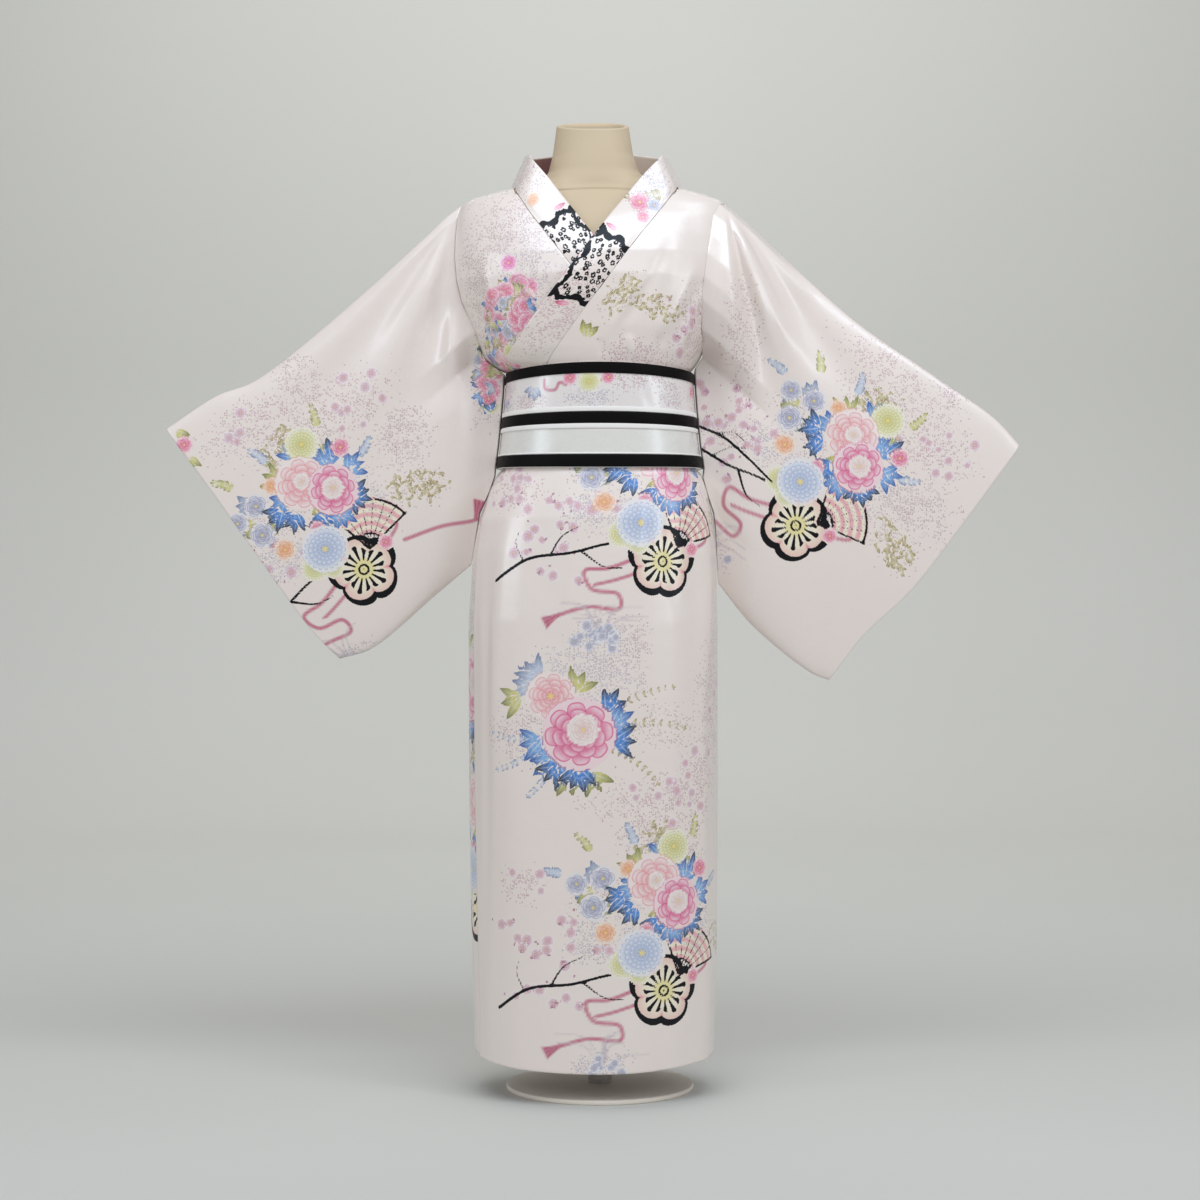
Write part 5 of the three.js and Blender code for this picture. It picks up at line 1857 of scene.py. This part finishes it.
@dataclass
class Obi:
    """The short obi: a stiff band with ribbons and trims sewn round it."""

    satin: Material
    ribbon: Material
    trim: Material
    low: float = 922.5
    high: float = 1077.0
    wall: float = 2.2
    sag: tuple[float, float] = (-3.0, 9.0)  # how much lower its bottom and its top lie at the sides
    ribbon_wall: float = 1.0
    ribbon_gap: float = 0.3
    around: float = 0.86  # flat length in metres
    half_way: float = 1002.0  # where the plain lower half begins
    columns: int = 380

    def _band(self, low: float, high: float, outer: float, wall: float, steps: int, dome: float) -> Cloth:
        """Return a closed level band.

        Args:
            low: height of its bottom edge.
            high: height of its top edge.
            outer: how far its outer face lies off the obi's face.
            wall: its thickness.
            steps: rows on its outer face.
            dome: how far the middle of its outer face stands out.

        Returns:
            The band, whose rows close on themselves.
        """
        inset = min(0.5, wall * 0.4)
        profile = [(low + inset, outer - wall), (low, outer - wall * 0.6)]
        profile.append((low + inset * 0.3, outer - wall * 0.15))
        shares = np.linspace(0, 1, steps)
        profile += [(mix(low + inset, high - inset, s), outer + dome * 4 * s * (1 - s)) for s in shares]
        profile += [(high - inset * 0.3, outer - wall * 0.15), (high, outer - wall * 0.6)]
        profile.append((high - inset, outer - wall))
        rows, flats = [], []
        for z, grow in profile:
            u = self._girth(ring(OBI, z, self.columns))
            height = np.full_like(u, z)
            row = ring(OBI, z, self.columns, grow + sum(c.at(u, height) for c in OBI_CREASES))
            sag = mix(*self.sag, (z - self.low) / (self.high - self.low))
            row[:, 2] -= sag * (row[:, 0] / np.abs(row[:, 0]).max()) ** 2
            rows.append(row)
            flats.append(np.column_stack([u, height]))
        return Cloth(np.array(rows), np.array(flats), wrap=True)

    @staticmethod
    def _girth(line: Array) -> Array:
        """Return the distance round the band from the middle of the front, positive to the right."""
        run = run_of(np.concatenate([line, line[:1]]))
        front = int(np.argmin(line[:, 1]))
        off = run[:-1] - run[front]
        total = run[-1]
        return (off + total / 2) % total - total / 2

    def build(self) -> list[Piece]:
        """Make the band and everything sewn on it."""
        cloth = self._band(self.low, self.high, 0.0, self.wall, 62, 0.0)
        canvas = Print(cloth.uv, 2.4)
        self._paint(canvas)
        band = cloth.to_object("obi_satin_band", canvas, wrap_rows=True)
        dress(band, self.satin, "obi_satin", "obi_band")
        made = [band]
        outer = self.ribbon_gap + self.ribbon_wall
        black, white = (self.ribbon, "black_ribbon"), (self.trim, "white_trim")
        for name, low, high, finish in (
            ("obi_ribbon_bottom", 923.5, 942, black),
            ("obi_trim_base", 942.4, 945, white),
            ("obi_trim_lower", 980, 987, white),
            ("obi_ribbon_middle", 987.4, 1004.5, black),
            ("obi_trim_upper", 1004.9, 1012, white),
            ("obi_ribbon_top", 1060, 1076.5, black),
        ):
            strip = self._band(low, high, outer, self.ribbon_wall, 7, 0.25)
            piece = dress(strip.to_object(f"{name}_sewn", wrap_rows=True), *finish, name)
            made.append(piece)
        return made

    def _paint(self, canvas: Print) -> None:
        """Paint the flowered upper half and the plain lower half."""
        plain = canvas.v < self.half_way
        for half, tone in ((plain, srgb(232, 229, 222)), (~plain, srgb(240, 232, 228))):
            index = np.nonzero(half)[0]
            canvas.tint(index, np.ones(len(index)), tone)
        canvas.cord(Place(-74, 1042), ((-10, 12), (-8, -2), (8, -4), (14, 6), (24, 2)), 4.0)
        canvas.spread(Place(-100, 1044, 250), 4, 22, 10, 110, GREY_LEAF)
        canvas.sprinkle(Place(-112, 1024), 60, 30, PLUM_PINK, 0.9)
        canvas.daisy(Place(-16, 1048), 15, YELLOW_DAISY)
        canvas.sprinkle(Place(-14, 1026), 70, 34, LILAC, 0.9)
        canvas.bud(Place(-44, 1054), 10, PINK_BUD)
        canvas.bud(Place(12, 1054), 9, PINK_BUD)
        canvas.sprinkle(Place(60, 1052), 110, 30, PLUM_PINK, 0.7)
        canvas.sprinkle(Place(112, 1032), 50, 50, MAUVE, 0.8)
        for u, seed in ((190, 3), (260, 5), (-190, 7), (-270, 9), (350, 13), (-360, 15)):
            canvas.sprinkle(Place(u, 1036), 90, 44, PLUM_PINK, 0.8)
            canvas.bud(Place(u - 20, 1044), 11, PINK_BUD)
            canvas.spread(Place(u + 16, 1034, 40 * seed), 3, 20, 9, 90, GREY_LEAF)


# ---- Dress form ----


@dataclass
class DressForm:
    """The limbless form: a covered body with a recessed neck cap, a pole with a flange and a round base."""

    cover: Material
    cap: Material
    steel: Material
    paint: Material
    tilt: float = 0.28
    tilt_from: float = 1380.0
    top: float = 1440.0
    rim: float = 7.0
    recess: float = 8.0
    columns: int = 220
    seam_z: float = 1337.0
    base_radius: float = 140.0
    base_height: float = 7.0
    pole_radius: float = 18.0
    pole_ends: tuple[float, float] = (7.3, 767.7)
    flange_radius: float = 44.0
    flange_low: float = 759.7
    no_seam: float = -6.0

    def _ring(self, z: float, grow: float = 0.0, drop: float = 0.0) -> Array:
        """Return one level of the form."""
        row = ring(FORM, z, self.columns, grow)
        lean = self.tilt * float(smooth(self.tilt_from, self.top, z))
        row[:, 2] += lean * row[:, 1] - drop
        return row

    def _closed(self, rows: list[Array], name: str) -> Piece:
        """Make an object of rings that ends in points at the bottom and the top."""
        first, last = rows[0].mean(axis=0), rows[-1].mean(axis=0)
        steps = (0.02, 0.35, 0.7)
        bottom = [first + (rows[0] - first) * s for s in steps]
        top = [last + (rows[-1] - last) * s for s in reversed(steps)]
        points = np.array([*bottom, *rows, *top])
        return Cloth(points, points[..., [0, 2]], wrap=True).to_object(name)

    def body(self) -> Piece:
        """Make the covered body with its seam round the neck."""
        z = levels((768, 1300, 6), (1300, 1436, 2.5), (1436, self.top, 1.0))
        rows = [self._ring(float(h)) for h in z]
        for inset in (1.2, 2.6, 4.4, 5.8):
            rows.append(self._ring(self.top, -inset, -1.2 * math.sin(math.pi * inset / self.rim)))
        rows += [self._ring(self.top, -self.rim, d) for d in (0.6, 3.0, 5.5, self.recess)]
        made = self._closed(rows, "form_body_covered")
        points = np.array([v.co for v in made.data.vertices]) / MM
        line = self.seam_z - 0.00055 * points[:, 0] ** 2 + np.where(points[:, 1] > 0, 14.0, 0.0)
        off = 1.0 - np.abs(points[:, 2] - line)
        store(made.data, "seam", np.clip(off, self.no_seam, 2))
        return dress(made, self.cover, "form_cover", "form_body")

    def neck_cap(self) -> Piece:
        """Make the cap that lies in the neck's recess."""
        gap, height, floor = 0.6, 3.0, 7.7
        grow = -self.rim - gap
        bevel = 0.8
        profile = ((bevel, floor), (0, floor - bevel), (0, floor - height + bevel), (bevel, floor - height))
        rows = [self._ring(self.top, grow - inset, drop) for inset, drop in profile]
        made = self._closed(rows, "form_neck_cap")
        store(made.data, "seam", np.full(len(made.data.vertices), self.no_seam))
        return dress(made, self.cap, "form_cap", "form_cap")

    def _turned(self, name: str, radius: float, low: float, high: float, bevel: float) -> Piece:
        """Add a round block between two heights, with its rims bevelled."""
        bpy.ops.object.select_all(action="DESELECT")
        middle, depth = (0, 0, (low + high) / 2 * MM), (high - low) * MM
        bpy.ops.mesh.primitive_cylinder_add(vertices=96, radius=radius * MM, depth=depth, location=middle)
        made = bpy.context.object
        made.name = made.data.name = name
        bpy.ops.object.transform_apply(location=True, rotation=True, scale=True)
        modifier = made.modifiers.new("rims", "BEVEL")
        modifier.width, modifier.segments, modifier.limit_method = bevel * MM, 3, "ANGLE"
        bpy.ops.object.modifier_apply(modifier=modifier.name)
        bpy.ops.object.shade_smooth_by_angle(angle=math.radians(40))
        return made

    def base(self) -> Piece:
        """Make the round base plate."""
        made = self._turned("form_base_plate", self.base_radius, 0, self.base_height, 2.2)
        return dress(made, self.paint, "base_paint", "form_base")

    def pole(self) -> Piece:
        """Make the pole with the flange that carries the body."""
        made = self._turned("form_pole_tube", self.pole_radius, *self.pole_ends, 0.8)
        flange = self._turned("form_flange", self.flange_radius, self.flange_low, self.pole_ends[1], 1.0)
        bpy.ops.object.select_all(action="DESELECT")
        flange.select_set(True)
        made.select_set(True)
        bpy.context.view_layer.objects.active = made
        bpy.ops.object.join()
        return dress(made, self.steel, "steel", "form_pole")


# ---- Studio ----


@dataclass
class Studio:
    """Camera, lights and a seamless backdrop, in metres."""

    camera_y: float = -3.7
    camera_z: float = 0.73
    lens: float = 74.0
    wall_y: float = 5.4
    bend: float = 1.6
    backdrop: StudioPaint = StudioPaint("backdrop", srgb(212, 212, 207))

    def camera(self) -> None:
        """Place the camera level in front."""
        data = bpy.data.cameras.new("camera")
        data.lens, data.sensor_width = self.lens, 36.0
        made = bpy.data.objects.new("camera", data)
        made.location = (0, self.camera_y, self.camera_z)
        made.rotation_euler = (math.pi / 2, 0, 0)
        bpy.context.scene.collection.objects.link(made)
        bpy.context.scene.camera = made

    def floor(self) -> None:
        """Make the floor, which bends up into the wall behind and before it."""
        turn = np.linspace(0, math.pi / 2, 24)
        bend_y = self.wall_y - self.bend + self.bend * np.sin(turn)
        bend_z = self.bend - self.bend * np.cos(turn)
        line = [(-14.0, 0.0), *zip(bend_y, bend_z), (self.wall_y, 9.0)]
        across = np.linspace(-16, 16, 3)
        points = np.array([[(x, y, z) for x in across] for y, z in line]) / MM
        made = Cloth(points, points[..., [0, 1]]).to_object("floor")
        made.data.materials.append(self.backdrop.make())

    @staticmethod
    def _lamp(
        name: str, place: Point, target: Point, size: tuple[float, float], radiance: float, tone: Colour
    ) -> None:
        """Add a large soft lamp that faces a target.

        Args:
            name: its name.
            place: where it hangs.
            target: the point that it faces.
            size: its width and height.
            radiance: how bright its face is.
            tone: its colour.
        """
        data = bpy.data.lights.new(name, "AREA")
        data.shape, data.size, data.size_y = "RECTANGLE", size[0], size[1]
        data.energy, data.color = radiance * math.pi * size[0] * size[1], tone
        made = bpy.data.objects.new(name, data)
        made.location = place
        made.rotation_euler = (Vector(target) - Vector(place)).to_track_quat("-Z", "Y").to_euler()
        made.visible_camera = False
        bpy.context.scene.collection.objects.link(made)

    def lights(self) -> None:
        """Add the soft lamps and the ambient light."""
        self._lamp("top", (0.4, -1.5, 3.1), (0.1, -0.1, 1.25), (3.4, 1.1), 3.7, (0.86, 0.93, 1.0))
        self._lamp("left", (-2.8, -2.0, 1.9), (0, 0, 0.95), (0.7, 1.6), 3.3, (0.93, 0.97, 1.0))
        self._lamp("right", (2.8, -2.2, 1.7), (0, 0, 0.95), (0.7, 1.6), 2.8, (0.95, 0.975, 1.0))
        self._lamp("wall", (0, 2.8, 4.0), (0, 5.0, 1.0), (4.4, 1.0), 4.2, PURE_WHITE)
        world = bpy.data.worlds.new("studio")
        bpy.context.scene.world = world
        world.use_nodes = True
        colour, strength, *_ = world.node_tree.nodes["Background"].inputs
        colour.default_value, strength.default_value = (0.97, 0.98, 1.0, 1.0), 0.49

    def build(self) -> None:
        """Set up the whole studio."""
        self.camera()
        self.floor()
        self.lights()
        bpy.context.scene.view_settings.view_transform = "Standard"


# ---- The whole ----


def main() -> None:
    """Build every piece."""
    logging.basicConfig(level=logging.INFO, format="%(message)s")
    bpy.ops.object.select_all(action="DESELECT")
    Studio().build()
    satin = SATIN.make()
    rims = {
        cut.side: {back: np.array(cut.rim)[::-1][:, [0, 2 if back else 1]] for back in (False, True)}
        for cut in (LEFT_CUT, RIGHT_CUT)
    }
    panels = Panels(satin, rims)
    made = [panels.over_front(), panels.under_front(), panels.back_panel(), Collar(satin).build()]
    made += [Sleeve(cut, satin).build() for cut in (LEFT_CUT, RIGHT_CUT)]
    made += Obi(OBI_SATIN.make(), BLACK_RIBBON.make(), WHITE_TRIM.make()).build()
    form = DressForm(FORM_COVER.make(), CAP_COVER.make(), STEEL.make(), BASE_PAINT.make())
    made += [form.body(), form.neck_cap(), form.base(), form.pole()]
    for piece in made:
        LOG.info("%s: %.4f square metres", piece.name, area_of(piece))


if __name__ == "__main__":
    main()
